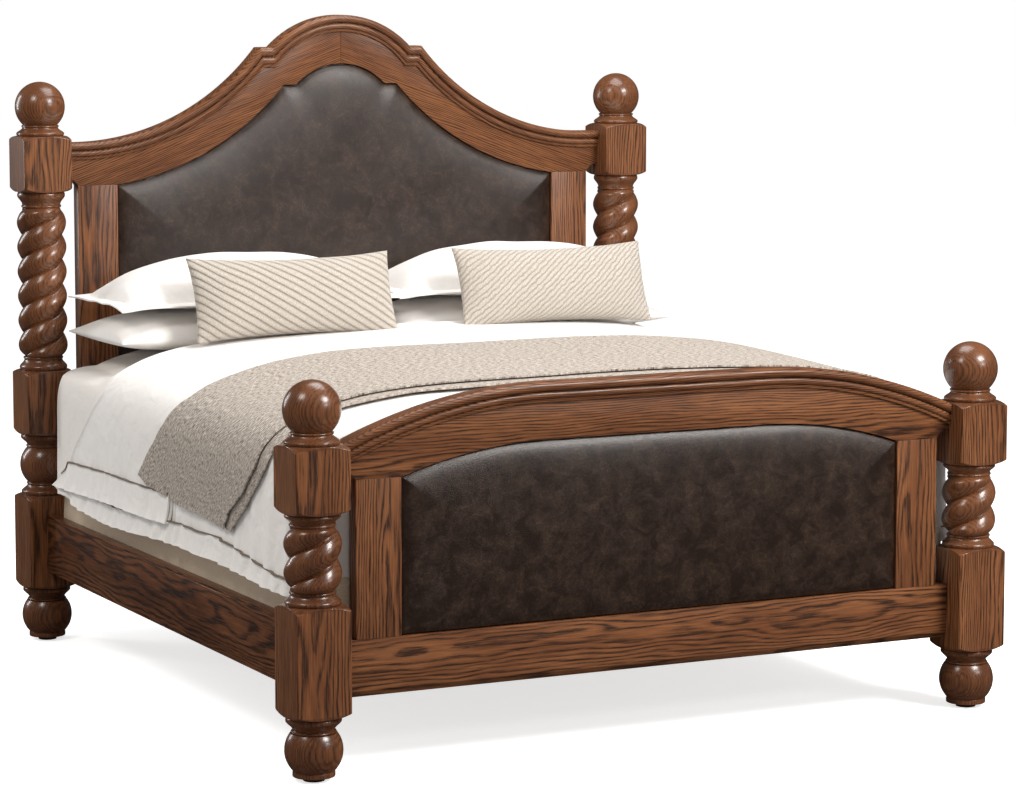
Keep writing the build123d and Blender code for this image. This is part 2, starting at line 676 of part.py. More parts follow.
keep("floor_glides", Compound(children=glides))
hangers = []
foot_stop, head_stop = FOOT_FACE + BOARD_THICK, HEAD_FACE
for start, side in ((foot_stop, 1), (head_stop, -1)):
    plate_end, shelf_end = start + side * HANGER_STEEL, start + side * HANGER_SHELF
    shelf_bottom = CENTRE_BEAM_BOTTOM - HANGER_STEEL
    hangers.append(
        slab(-HANGER_WIDE / 2, HANGER_WIDE / 2, start, plate_end, shelf_bottom, ledger_top)
        + slab(-HANGER_WIDE / 2, HANGER_WIDE / 2, start, shelf_end, shelf_bottom, CENTRE_BEAM_BOTTOM)
    )
keep("beam_hangers", Compound(children=hangers))
half = CENTRE_BEAM_SIDE / 2
keep("centre_beam", slab(-half, half, foot_stop + HANGER_STEEL, head_stop - HANGER_STEEL, CENTRE_BEAM_BOTTOM, ledger_top))

# Box springs and mattress
spring_plan = RectangleRounded(SPRING_X - 2, 2 * MATTRESS_END, 40)
for side_name, side in SIDES.items():
    base = Pos(side * (SPRING_X + 2) / 2, 0, SPRING_BOTTOM) * extrude(spring_plan, SPRING_TOP - SPRING_BOTTOM)
    corners = [slab(side * (POST_FACE_X - 4), side * 1100, end * (POST_FACE_Y - 4), end * 1100, 0, 600)
               for end in (-1, 1)]
    keep(f"box_spring_{side_name}", base - corners)
mattress_plan = RectangleRounded(2 * MATTRESS_X, 2 * MATTRESS_END, MATTRESS_CORNER)
mattress = Pos(0, 0, MATTRESS_BOTTOM) * extrude(mattress_plan, MATTRESS_TOP - MATTRESS_BOTTOM)
keep("mattress", chamfer(mattress.faces().sort_by(Axis.Z)[-1].edges(), MATTRESS_EDGE))

# Duvet and throw
keep("duvet", duvet())
keep("throw_blanket", throw())

# Pillows: two stacked on each side, with a quilted lumbar cushion leaning on them
lower, upper = (pillow(936, 452, thick, 2, squash=48) for thick in (124, 126))
for side_name, side in SIDES.items():
    place = mirrored if side < 0 else (lambda piece: piece)
    keep(f"pillow_lower_{side_name}", place(Pos(478, 782, 1002) * lower))
    keep(f"pillow_upper_{side_name}", place(Pos(478, 782, 1132) * upper))
lean = 70.0
cushion = pillow(650, 282, 118, 2)
keep("lumbar_cushion_left", Pos(-409, 470, 1106) * Rot(lean, 0, 0) * cushion)
keep("lumbar_cushion_right", Pos(461, 470, 1104) * Rot(lean, 0, 0) * cushion)

os.makedirs("parts", exist_ok=True)
for name, piece in made.items():
    export_step(piece, f"parts/{name}.step")
print(len(made), "pieces")
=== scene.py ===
# King-size bed in dark oak: barley-twist posts, moulded head and foot boards with leather pads, and its
# bedding. It is put together here in the order of the workshop. All sizes are in metres.
import math

import bmesh
import bpy
import numpy as np
from mathutils import Matrix, Vector


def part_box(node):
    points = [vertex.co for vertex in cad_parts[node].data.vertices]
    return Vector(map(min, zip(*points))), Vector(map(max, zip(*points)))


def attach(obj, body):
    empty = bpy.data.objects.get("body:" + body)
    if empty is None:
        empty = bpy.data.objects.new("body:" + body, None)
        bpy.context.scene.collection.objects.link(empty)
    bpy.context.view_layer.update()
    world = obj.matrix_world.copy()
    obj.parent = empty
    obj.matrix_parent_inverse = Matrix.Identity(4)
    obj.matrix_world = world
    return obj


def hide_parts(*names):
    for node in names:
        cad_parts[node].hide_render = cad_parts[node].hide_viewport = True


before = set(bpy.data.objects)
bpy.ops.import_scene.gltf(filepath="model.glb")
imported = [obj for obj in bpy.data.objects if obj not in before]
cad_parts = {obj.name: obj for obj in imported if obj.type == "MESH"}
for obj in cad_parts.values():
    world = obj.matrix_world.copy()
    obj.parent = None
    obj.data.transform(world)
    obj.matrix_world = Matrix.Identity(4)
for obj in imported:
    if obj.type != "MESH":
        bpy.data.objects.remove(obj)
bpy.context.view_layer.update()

# Camera and studio: a long lens at the foot end, to the left of the bed and a little above it, over a
# white floor, with a large soft light on the right, a weaker one on the left and one behind.
camera_data = bpy.data.cameras.new("camera")
camera_data.sensor_width = 36.0
camera_data.lens = 120.63
camera_data.shift_y = -0.06
camera = bpy.data.objects.new("camera", camera_data)
camera.location = (-4.3783, -8.9186, 2.0575)
camera.rotation_euler = (math.radians(90 - 6.145), 0, math.radians(-26.549))
bpy.context.scene.collection.objects.link(camera)
bpy.context.scene.camera = camera
bpy.context.scene.view_settings.view_transform = "Standard"


def soft_light(name, place, aim, width, height, power, colour=(1, 1, 1)):
    lamp = bpy.data.lights.new(name, "AREA")
    lamp.shape = "RECTANGLE"
    lamp.size, lamp.size_y = width, height
    lamp.energy, lamp.color = power, colour
    holder = bpy.data.objects.new(name, lamp)
    holder.location = place
    way = Vector(aim) - Vector(place)
    holder.rotation_euler = way.to_track_quat("-Z", "Y").to_euler()
    bpy.context.scene.collection.objects.link(holder)


soft_light("key_light", (2.6, -4.9, 4.8), (0, 0, 0.8), 2.2, 1.6, 390, (1.0, 0.98, 0.95))
soft_light("sheen_light", (3.0, -6.0, 2.9), (0, -1.0, 0.75), 1.9, 0.7, 62, (1.0, 0.98, 0.95))
soft_light("fill_light", (-4.4, -1.6, 5.0), (-0.8, 0, 0.8), 1.6, 1.6, 120, (1.0, 0.95, 0.88))
soft_light("top_light", (0.6, 0.2, 4.8), (0, 0, 0.8), 2.6, 2.2, 110)
soft_light("back_light", (-3.4, 4.2, 2.2), (-0.9, 0.6, 0.9), 0.6, 2.2, 60)


def add(tree, kind, links=None, **settings):
    """A node in a shader or geometry tree, with its settings and what goes into its sockets."""
    node = tree.nodes.new(kind)
    for key, value in settings.items():
        setattr(node, key, value)
    for socket, source in (links or {}).items():
        if isinstance(source, bpy.types.NodeSocket):
            tree.links.new(source, node.inputs[socket])
        else:
            node.inputs[socket].default_value = source
    return node


world = bpy.data.worlds.new("studio")
bpy.context.scene.world = world
world.use_nodes = True
tree = world.node_tree
tree.nodes.clear()
rays = add(tree, "ShaderNodeLightPath")
glint = add(tree, "ShaderNodeMapRange", {"Value": rays.outputs["Is Glossy Ray"], "To Min": 0.36, "To Max": 0.06})
seen = add(tree, "ShaderNodeMath", {0: rays.outputs["Is Camera Ray"], 1: glint.outputs[0]}, operation="MAXIMUM")
sky = add(tree, "ShaderNodeBackground", {"Color": (1, 1, 1, 1), "Strength": seen.outputs[0]})
add(tree, "ShaderNodeOutputWorld", {"Surface": sky.outputs[0]})

floor_mesh = bpy.data.meshes.new("floor")
floor_mesh.from_pydata([(-30, -30, 0), (30, -30, 0), (30, 30, 0), (-30, 30, 0)], [], [(0, 1, 2, 3)])
floor = bpy.data.objects.new("floor", floor_mesh)
bpy.context.scene.collection.objects.link(floor)
paper = bpy.data.materials.new("white_floor")
paper.use_nodes = True
tree = paper.node_tree
tree.nodes.clear()
rays = add(tree, "ShaderNodeLightPath")
dull = add(tree, "ShaderNodeMapRange", {"Value": rays.outputs["Is Glossy Ray"], "To Min": 0.35, "To Max": 0.05})
bright = add(tree, "ShaderNodeMath", {0: rays.outputs["Is Camera Ray"], 1: 0.92}, operation="MULTIPLY")
tint = add(tree, "ShaderNodeMath", {0: dull.outputs[0], 1: bright.outputs[0]}, operation="MAXIMUM")
matte = add(tree, "ShaderNodeBsdfDiffuse", {"Color": tint.outputs[0]})
lift = add(tree, "ShaderNodeMath", {0: rays.outputs["Is Camera Ray"], 1: 0.70}, operation="MULTIPLY")
glow = add(tree, "ShaderNodeEmission", {"Color": (1, 1, 1, 1), "Strength": lift.outputs[0]})
both = add(tree, "ShaderNodeAddShader", {0: matte.outputs[0], 1: glow.outputs[0]})
add(tree, "ShaderNodeOutputMaterial", {"Surface": both.outputs[0]})
floor_mesh.materials.append(paper)

# Oak finish: open-grained oak with a red-brown stain and a satin lacquer. The grain is a solid
# pattern, rings round a tree's heart that lies beside the piece, so that turning and cutting show it.
def group(name, inputs, outputs):
    """Shader node group with named inputs and outputs, each a name and a socket type."""
    made = bpy.data.node_groups.new(name, "ShaderNodeTree")
    for socket, kind in inputs.items():
        made.interface.new_socket(socket, in_out="INPUT", socket_type="NodeSocket" + kind)
    for socket, kind in outputs.items():
        made.interface.new_socket(socket, in_out="OUTPUT", socket_type="NodeSocket" + kind)
    return made, made.nodes.new("NodeGroupInput"), made.nodes.new("NodeGroupOutput")


def stretched(tree, vector, scale):
    return add(tree, "ShaderNodeVectorMath", {0: vector, 1: scale}, operation="MULTIPLY").outputs[0]


def ramp(tree, value, *stops):
    """Colour ramp from stops of (place, colour)."""
    node = add(tree, "ShaderNodeValToRGB", {0: value})
    while len(node.color_ramp.elements) < len(stops):
        node.color_ramp.elements.new(0.5)
    for element, (place, colour) in zip(node.color_ramp.elements, stops):
        element.position = place
        element.color = (*colour, 1) if hasattr(colour, "__len__") else (colour, colour, colour, 1)
    return node.outputs[0]


def mixed(tree, factor, first, second, blend="MIX"):
    node = add(tree, "ShaderNodeMix", data_type="RGBA", blend_type=blend)
    for socket, source in ((0, factor), (6, first), (7, second)):
        if isinstance(source, bpy.types.NodeSocket):
            tree.links.new(source, node.inputs[socket])
        else:
            node.inputs[socket].default_value = source if socket == 0 else (*source, 1)
    return node.outputs[2]


grain, g_in, g_out = group(
    "wood_grain",
    {"Along": "Vector", "Ring Width": "Float", "Contrast": "Float", "Dark": "Color", "Middle": "Color", "Light": "Color"},
    {"Color": "Color", "Roughness": "Float", "Height": "Float"},
)
along = g_in.outputs["Along"]
sway = add(grain, "ShaderNodeTexNoise", {"Vector": stretched(grain, along, (1.3, 7.0, 7.0)), "Scale": 1.0, "Detail": 3.0})
sway = stretched(grain, sway.outputs["Color"], (0.0, 0.060, 0.060))
bent = add(grain, "ShaderNodeVectorMath", {0: stretched(grain, along, (0.1, 1, 1)), 1: sway}, operation="ADD")
count = add(grain, "ShaderNodeMath", {0: 0.314, 1: g_in.outputs["Ring Width"]}, operation="DIVIDE")
rings = add(
    grain, "ShaderNodeTexWave",
    {"Vector": bent.outputs[0], "Scale": count.outputs[0], "Distortion": 1.2, "Detail": 3.0, "Detail Scale": 2.2, "Detail Roughness": 0.65},
    wave_type="RINGS", rings_direction="X", wave_profile="SAW",
)
fibre = add(grain, "ShaderNodeTexNoise", {"Vector": stretched(grain, along, (11, 250, 250)), "Scale": 1.0, "Detail": 3.0, "Roughness": 0.6})
pore = add(grain, "ShaderNodeTexNoise", {"Vector": stretched(grain, along, (30, 430, 430)), "Scale": 1.0, "Detail": 2.0})
broad = add(grain, "ShaderNodeTexNoise", {"Vector": stretched(grain, along, (1.3, 9, 9)), "Scale": 1.0, "Detail": 3.0})
late = ramp(grain, rings.outputs["Fac"], (0.0, 0.30), (0.22, 0.0), (0.48, 0.18), (0.74, 1.0), (0.93, 0.90), (1.0, 0.35))
thread = ramp(grain, fibre.outputs["Fac"], (0.38, 0.0), (0.64, 1.0))
holes = ramp(grain, pore.outputs["Fac"], (0.56, 0.0), (0.66, 1.0))
wash = ramp(grain, broad.outputs["Fac"], (0.35, 0.0), (0.68, 1.0))
bright = ramp(grain, fibre.outputs["Fac"], (0.34, 1.0), (0.50, 0.0))
bright = add(grain, "ShaderNodeMath", {0: bright, 1: 0.45, 2: wash}, operation="MULTIPLY_ADD", use_clamp=True)
base = mixed(grain, bright.outputs[0], g_in.outputs["Middle"], g_in.outputs["Light"])
patchy = add(grain, "ShaderNodeMath", {0: thread, 1: 0.50, 2: 0.50}, operation="MULTIPLY_ADD")
lines = add(grain, "ShaderNodeMath", {0: late, 1: patchy.outputs[0]}, operation="MULTIPLY")
streak = add(grain, "ShaderNodeMath", {0: thread, 1: 0.17, 2: lines.outputs[0]}, operation="MULTIPLY_ADD", use_clamp=True)
streak = add(grain, "ShaderNodeMath", {0: streak.outputs[0], 1: g_in.outputs["Contrast"]}, operation="MULTIPLY")
colour = mixed(grain, streak.outputs[0], base, g_in.outputs["Dark"])
speck = add(grain, "ShaderNodeMath", {0: holes, 1: late}, operation="MULTIPLY")
speck = add(grain, "ShaderNodeMath", {0: speck.outputs[0], 1: 0.65}, operation="MULTIPLY")
colour = mixed(grain, speck.outputs[0], colour, (0.016, 0.007, 0.004))
grain.links.new(colour, g_out.inputs["Color"])
rough = add(grain, "ShaderNodeMapRange", {"Value": streak.outputs[0], "To Min": 0.3, "To Max": 0.48})
grain.links.new(rough.outputs[0], g_out.inputs["Roughness"])
height = add(grain, "ShaderNodeMath", {0: speck.outputs[0], 1: -1.0}, operation="MULTIPLY_ADD")
height.inputs[2].default_value = 1.0
grain.links.new(height.outputs[0], g_out.inputs["Height"])

GRAIN_TURNS = {"X": (0, 0, 0), "Y": (0, 0, -math.pi / 2), "Z": (0, math.pi / 2, 0)}
OAK = {"Dark": (0.036, 0.0135, 0.0062), "Middle": (0.165, 0.058, 0.0220), "Light": (0.275, 0.108, 0.043)}

# Darker tones of the turned lengths. The side rails take them too, so that they read dark as the shaded side of the
# bed: painted shade.
TURNED_AND_RAIL_SHADE = {"Dark": (0.017, 0.006, 0.003), "Middle": (0.100, 0.034, 0.0135), "Light": (0.22, 0.084, 0.034)}


def wood(name, way, heart, tones=OAK, ring_width=0.0056, tilt=0.0, coat=0.10, contrast=1.0):
    """Wood cut with its grain along an axis. The heart of the tree passes through the given point."""
    made = bpy.data.materials.new(name)
    made.use_nodes = True
    tree = made.node_tree
    shader = tree.nodes["Principled BSDF"]
    place = add(tree, "ShaderNodeTexCoord")
    turn = [a + b for a, b in zip(GRAIN_TURNS[way], (0, tilt, 0))]
    shift = add(tree, "ShaderNodeVectorMath", {0: place.outputs["Object"], 1: heart}, operation="SUBTRACT")
    turned = add(tree, "ShaderNodeMapping", {"Vector": shift.outputs[0], "Rotation": turn})
    pattern = add(tree, "ShaderNodeGroup", node_tree=grain)
    tree.links.new(turned.outputs[0], pattern.inputs["Along"])
    pattern.inputs["Ring Width"].default_value = ring_width
    pattern.inputs["Contrast"].default_value = contrast
    for tone, value in tones.items():
        pattern.inputs[tone].default_value = (*value, 1)
    tree.links.new(pattern.outputs["Color"], shader.inputs["Base Color"])
    tree.links.new(pattern.outputs["Roughness"], shader.inputs["Roughness"])
    bump = add(tree, "ShaderNodeBump", {"Height": pattern.outputs["Height"], "Distance": 0.0004, "Strength": 0.5})
    tree.links.new(bump.outputs[0], shader.inputs["Normal"])
    shader.inputs["Coat Weight"].default_value = coat
    shader.inputs["Coat Roughness"].default_value = 0.2
    shader.inputs["Specular IOR Level"].default_value = 0.26
    return made


# Posts: four squares of oak turned between their blocks, each end of a block rounded to a dome. The
# twist is two strands wound on one axis, cut by hand, and it runs out into a ring at each end.
POST_X, POST_Y = 1.0, 1.045
BLOCK_HALF = 0.0765
BLOCK_RISE = 0.014
BALL = 0.076
NECK = 0.054
TWIST_NECK = 0.058
LEAD = 0.1506
SPOKES = 160
spoke_turn = np.arange(SPOKES) * 2 * np.pi / SPOKES
spoke_turn = spoke_turn + 0.17 * np.sin(4 * spoke_turn)
SPOKE = np.stack([np.cos(spoke_turn), np.sin(spoke_turn)], 1)


def round_rings(profile):
    """Rings of points round Z from a profile of (radius, height)."""
    return [np.column_stack([SPOKE * r, np.full(SPOKES, z)]) for r, z in profile]


def collar(block_z, neck_z, neck=NECK):
    """Bell-shaped collar: a round bulge against the block that sweeps in to the neck."""
    profile = []
    for share in np.linspace(0.02, 1, 26):
        if share < 0.30:
            r = 0.0660 + 0.0068 * math.sqrt(max(0, 1 - ((share - 0.26) / 0.28) ** 2))
        else:
            sink = (share - 0.30) / 0.70
            r = neck + (0.0728 - neck) * (0.5 + 0.5 * math.cos(math.pi * sink ** 0.86))
        profile.append((r, block_z + (neck_z - block_z) * share))
    return profile


def bead(low, high, radius):
    middle, half = (low + high) / 2, (high - low) / 2
    return [(radius - 0.004 + 0.004 * math.cos(a), middle + half * math.sin(a)) for a in np.linspace(-1.45, 1.45, 9)]


def ball(centre, low, high, count=40):
    start, end = (math.asin(max(-1, min(1, (z - centre) / BALL))) for z in (low, high))
    return [(BALL * math.cos(a), centre + BALL * math.sin(a)) for a in np.linspace(start, end, count)]


def block_rings(low, high):
    """Square block with softened edges, its two ends domed down to the collar."""
    square = BLOCK_HALF / (np.abs(SPOKE[:, 0]) ** 26 + np.abs(SPOKE[:, 1]) ** 26) ** (1 / 26)
    shares = np.linspace(1, 0, 16)
    levels = [(low - BLOCK_RISE * s, s) for s in shares] + [(high + BLOCK_RISE * s, s) for s in shares[::-1]]
    rings = []
    for z, share in levels:
        dome = 0.0725 + 0.0357 * (1 - share) ** 0.625 + 0.004 * (share == 0)
        reach = -np.logaddexp(-square / 0.0007, -dome / 0.0007) * 0.0007
        rings.append(np.column_stack([SPOKE * reach[:, None], np.full(SPOKES, z)]))
    return rings


def shell(name, rows, caps=True, closed=True):
    """Mesh object from rows of points, each joined to the next. Caps close the two ends."""
    rows = np.asarray(rows)
    count, around = rows.shape[:2]
    points = [tuple(p) for p in rows.reshape(-1, 3)]
    faces = []
    last = around if closed else around - 1
    for i in range(count - 1):
        for j in range(last):
            k = (j + 1) % around
            faces.append((i * around + j, i * around + k, (i + 1) * around + k, (i + 1) * around + j))
    if caps:
        for i in (0, count - 1):
            points.append(tuple(rows[i].mean(0)))
            for j in range(around):
                faces.append((len(points) - 1, i * around + j, i * around + (j + 1) % around))
    mesh = bpy.data.meshes.new(name)
    mesh.from_pydata(points, [], faces)
    piece = bpy.data.objects.new(name, mesh)
    bpy.context.scene.collection.objects.link(piece)
    return piece


def finish(piece, material, crease=35, merge=0.00005):
    """Merges what repeats, turns the faces outwards and shades smooth, but not over sharp edges."""
    work = bmesh.new()
    work.from_mesh(piece.data)
    bmesh.ops.remove_doubles(work, verts=work.verts, dist=merge)
    bmesh.ops.recalc_face_normals(work, faces=work.faces)
    for face in work.faces:
        face.smooth = True
    for edge in work.edges:
        edge.smooth = not edge.is_manifold or edge.calc_face_angle(0) < math.radians(crease)
    work.to_mesh(piece.data)
    work.free()
    piece.data.materials.clear()
    piece.data.materials.append(material)
    return piece


def shifted(piece, x, y, z=0.0):
    piece.data.transform(Matrix.Translation((x, y, z)))
    return piece


twist_tree = bpy.data.node_groups.new("barley_twist", "GeometryNodeTree")
for label, value in (
    ("Height", 0.46), ("Lead", LEAD), ("Strand Radius", 0.0615), ("Strand Offset", 0.0135), ("Phase", 0.0),
    ("Fade", 0.024), ("End Scale", 0.75), ("Bead", 0.0040),
):
    socket = twist_tree.interface.new_socket(label, in_out="INPUT", socket_type="NodeSocketFloat")
    socket.default_value = value
twist_tree.interface.new_socket("Rings", in_out="INPUT", socket_type="NodeSocketInt")
twist_tree.interface.new_socket("Oak", in_out="INPUT", socket_type="NodeSocketMaterial")
twist_tree.interface.new_socket("Geometry", in_out="OUTPUT", socket_type="NodeSocketGeometry")
t_in = twist_tree.nodes.new("NodeGroupInput").outputs
t_out = twist_tree.nodes.new("NodeGroupOutput").inputs


def calc(operation, *values):
    """A Math node in the twist's tree."""
    return add(twist_tree, "ShaderNodeMath", dict(enumerate(values)), operation=operation).outputs[0]


sheet = add(twist_tree, "GeometryNodeMeshGrid", {"Vertices X": SPOKES + 1, "Vertices Y": t_in["Rings"]})
where = add(twist_tree, "ShaderNodeSeparateXYZ", {0: add(twist_tree, "GeometryNodeInputPosition").outputs[0]})
round_turn = calc("MULTIPLY", calc("ADD", where.outputs[0], 0.5), 2 * math.pi)
level = calc("MULTIPLY", calc("ADD", where.outputs[1], 0.5), t_in["Height"])
wound = calc("ADD", calc("MULTIPLY", calc("DIVIDE", level, t_in["Lead"]), 2 * math.pi), t_in["Phase"])
across = calc("ABSOLUTE", calc("COSINE", round_turn))
beside = calc("MULTIPLY", calc("SINE", round_turn), t_in["Strand Offset"])
bulge = calc("SQRT", calc("SUBTRACT", calc("POWER", t_in["Strand Radius"], 2.0), calc("POWER", beside, 2.0)))
reach = calc("ADD", calc("MULTIPLY", across, t_in["Strand Offset"]), bulge)
groove = calc("MULTIPLY", calc("EXPONENT", calc("MULTIPLY", calc("POWER", across, 2.0), -420.0)), t_in["Bead"])
hollow = calc("MULTIPLY", calc("EXPONENT", calc("MULTIPLY", calc("POWER", across, 2.0), -45.0)), -0.0042)
groove = calc("ADD", groove, hollow)
edge = calc("MINIMUM", level, calc("SUBTRACT", t_in["Height"], level))
inside = calc("MINIMUM", calc("DIVIDE", edge, t_in["Fade"]), 1.0)
rise = calc("SQRT", calc("SUBTRACT", 1.0, calc("POWER", calc("SUBTRACT", 1.0, inside), 2.0)))
full = calc("MULTIPLY_ADD", rise, calc("SUBTRACT", 1.0, t_in["End Scale"]), t_in["End Scale"])
reach = calc("MULTIPLY", calc("ADD", reach, groove), full)
heading = calc("ADD", round_turn, wound)
place = add(twist_tree, "ShaderNodeCombineXYZ", {0: calc("MULTIPLY", reach, calc("COSINE", heading)), 1: calc("MULTIPLY", reach, calc("SINE", heading)), 2: level})
moved = add(twist_tree, "GeometryNodeSetPosition", {"Geometry": sheet.outputs["Mesh"], "Position": place.outputs[0]})
sewn = add(twist_tree, "GeometryNodeMergeByDistance", {"Geometry": moved.outputs[0], "Distance": 0.00002})
real = add(twist_tree, "GeometryNodeRealizeInstances", {"Geometry": sewn.outputs[0]})
stained = add(twist_tree, "GeometryNodeSetMaterial", {"Geometry": real.outputs[0], "Material": t_in["Oak"]})
twist_tree.links.new(stained.outputs[0], t_out["Geometry"])


def twist(low, high, phase, material):
    """Barley twist between two levels, grown by the node tree and kept as a plain mesh."""
    grown = bpy.data.objects.new("twist", bpy.data.meshes.new("twist"))
    bpy.context.scene.collection.objects.link(grown)
    maker = grown.modifiers.new("twist", "NODES")
    maker.node_group = twist_tree
    values = {"Height": high - low, "Phase": phase, "Rings": round((high - low) / 0.0022), "Oak": material}
    for item in twist_tree.interface.items_tree:
        if item.in_out == "INPUT" and item.name in values:
            maker[item.identifier] = values[item.name]
    made = bpy.data.meshes.new_from_object(grown.evaluated_get(bpy.context.evaluated_depsgraph_get()))
    grown.modifiers.remove(maker)
    bpy.data.objects.remove(grown)
    made.transform(Matrix.Translation((0, 0, low)))
    return made


def joined(name, rows_list, mesh, material):
    """One post from its turned lengths and its twist."""
    piece = shell(name, rows_list[0])
    work = bmesh.new()
    work.from_mesh(piece.data)
    for rows in rows_list[1:]:
        other = shell(name + "_length", rows)
        work.from_mesh(other.data)
        bpy.data.objects.remove(other)
    work.from_mesh(mesh)
    work.to_mesh(piece.data)
    work.free()
    return finish(piece, material)


def mark_turned(piece, blocks, material):
    """Gives the turned lengths between the blocks their own finish."""
    piece.data.materials.append(material)
    for face in piece.data.polygons:
        z = face.center.z
        if not any(low - 0.006 < z < high + 0.006 for low, high in blocks):
            face.material_index = 1


for place_name, y, neck_top in (("head", POST_Y, 1.587), ("foot", -POST_Y, 0.895)):
    for side_name, side in (("left", -1), ("right", 1)):
        x = side * POST_X
        heart = (x + 0.075 * side, y + 0.10, 0.3 * side)
        oak = wood(f"oak_{place_name}_post_{side_name}", "Z", heart)
        lathe_oak = wood(f"oak_{place_name}_turning_{side_name}", "Z", heart, TURNED_AND_RAIL_SHADE, contrast=0.55, coat=0.55)
        lower = round_rings(collar(0.168, 0.132)[::-1]) + block_rings(0.182, 0.443)
        if place_name == "head":
            lower += round_rings(collar(0.457, 0.488) + bead(0.488, 0.494, 0.057) + ball(0.549, 0.4945, 0.6035))
            lower += round_rings(bead(0.604, 0.610, 0.057) + collar(0.644, 0.610)[::-1]) + block_rings(0.658, 0.829)
            lower += round_rings(collar(0.843, 0.876, TWIST_NECK) + bead(0.876, 0.884, 0.061))
            upper = round_rings(bead(1.342, 1.350, 0.061) + collar(1.390, 1.350, TWIST_NECK)[::-1])
            upper += block_rings(1.404, 1.547) + round_rings(collar(1.561, neck_top))
            strands = twist(0.8825, 1.3435, math.radians(74), oak)
            blocks = ((0.182, 0.443), (0.658, 0.829), (1.404, 1.547))
        else:
            lower += round_rings(collar(0.457, 0.485, TWIST_NECK) + bead(0.485, 0.493, 0.061))
            upper = round_rings(bead(0.659, 0.667, 0.061) + collar(0.693, 0.667, TWIST_NECK)[::-1])
            upper += block_rings(0.707, 0.855) + round_rings(collar(0.869, neck_top))
            strands = twist(0.4915, 0.6605, math.radians(45), oak)
            blocks = ((0.182, 0.443), (0.707, 0.855))
        post = shifted(joined(f"{place_name}_post_{side_name}_turned", [lower, upper], strands, oak), x, y)
        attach(post, "bedstead")
        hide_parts(f"{place_name}_post_{side_name}")

        mark_turned(post, blocks, lathe_oak)
        crown = neck_top + 0.063
        profile = bead(neck_top, neck_top + 0.007, 0.057) + ball(crown, neck_top + 0.0072, crown + BALL - 0.00002, 56)
        finial = shifted(finish(shell(f"{place_name}_finial_{side_name}_turned", round_rings(profile)), lathe_oak), x, y)
        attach(finial, "bedstead")
        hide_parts(f"{place_name}_finial_{side_name}")

        profile = [(0.0545, 0.012), (0.0553, 0.013), (0.0553, 0.023), (0.0545, 0.025)]
        profile += ball(0.0797, 0.0255, 0.1245) + bead(0.1255, 0.132, 0.059)
        foot = shifted(finish(shell(f"{place_name}_ball_foot_{side_name}_turned", round_rings(profile)), lathe_oak), x, y)
        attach(foot, "bedstead")
        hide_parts(f"{place_name}_ball_foot_{side_name}")

# Boards: planed oak, glued up from planks. Each CAD board is copied with its long edges eased, and its
# grain runs with the plank: level in the rails, upright in the stiles, with the slope in the crest.
BOARDS = {
    "headboard_crest_left": ("X", (-0.4, 1.16, 1.40), 0.34),
    "headboard_crest_right": ("X", (0.4, 1.19, 1.38), -0.34),
    "headboard_stile_left": ("Z", (-0.87, 1.17, 0.8), 0.0),
    "headboard_stile_right": ("Z", (0.86, 1.15, 0.8), 0.0),
    "headboard_bottom_rail": ("X", (0.1, 1.16, 0.25), 0.0),
    "footboard_arch": ("X", (0.2, -0.93, 0.82), 0.0),
    "footboard_stile_left": ("Z", (-0.80, -0.94, 0.5), 0.0),
    "footboard_stile_right": ("Z", (0.78, -0.93, 0.5), 0.0),
    "footboard_bottom_rail": ("X", (-0.3, -0.94, 0.33), 0.0),
    "side_rail_left": ("Y", (-0.90, 0.0, 0.36), 0.0),
    "side_rail_right": ("Y", (0.90, 0.0, 0.36), 0.0),
}


def eased(node, material, width=0.0016):
    """Copy of a CAD board, with its triangles merged into flats and its sharp edges rounded over."""
    work = bmesh.new()
    work.from_mesh(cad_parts[node].data)
    bmesh.ops.remove_doubles(work, verts=work.verts, dist=0.00002)
    bmesh.ops.dissolve_limit(work, angle_limit=math.radians(0.5), verts=work.verts, edges=work.edges)
    sharp = [e for e in work.edges if e.is_manifold and e.calc_face_angle(0) > math.radians(30)]
    bmesh.ops.bevel(work, geom=sharp, offset=width, segments=2, profile=0.6, affect="EDGES", clamp_overlap=True)
    mesh = bpy.data.meshes.new(node + "_board")
    work.to_mesh(mesh)
    work.free()
    piece = bpy.data.objects.new(node + "_board", mesh)
    bpy.context.scene.collection.objects.link(piece)
    return finish(piece, material, crease=50, merge=0.00001)


# The side rails take the darker tones of the turned lengths, standing for the shade on the bed's side: painted shade.
for node, (way, heart, tilt) in BOARDS.items():
    board = eased(node, wood("oak_" + node, way, heart, TURNED_AND_RAIL_SHADE if node.startswith("side_rail") else OAK, tilt=tilt))
    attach(board, "bedstead")
    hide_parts(node)

# Crest mouldings: a bold bead along the top edge of each board with an ogee step below it, run in
# short curved lengths that follow the dome, the ears and the sweeps, and glued to the boards' faces.
HEAD_FACE, FOOT_FACE = 1.035, -1.055
POST_FACE_X = POST_X - BLOCK_HALF


def crest_line(inset, fine=90):
    """Crest outline from the centre to the post as (x, z), at a distance inside the outer edge."""
    level = 1.824 - 1.2 * inset
    dome, sweep = 0.335 - inset, 0.771 + inset
    dome_x = math.sqrt(dome ** 2 - (level - 1.589) ** 2)
    sweep_x = 0.880 - math.sqrt(sweep ** 2 - (2.309 - level) ** 2)
    over = [(x, 1.589 + math.sqrt(dome ** 2 - x ** 2)) for x in np.linspace(0, dome_x, fine // 2)]
    ear = [(x, level) for x in np.linspace(dome_x, sweep_x, 8)[1:-1]]
    under = [(x, 2.309 - math.sqrt(sweep ** 2 - (x - 0.880) ** 2)) for x in np.linspace(sweep_x, 0.880, fine)]
    tail = [(x, 2.309 - sweep) for x in np.linspace(0.880, POST_FACE_X, 5)[1:]]
    return np.array(over + ear + under + tail)


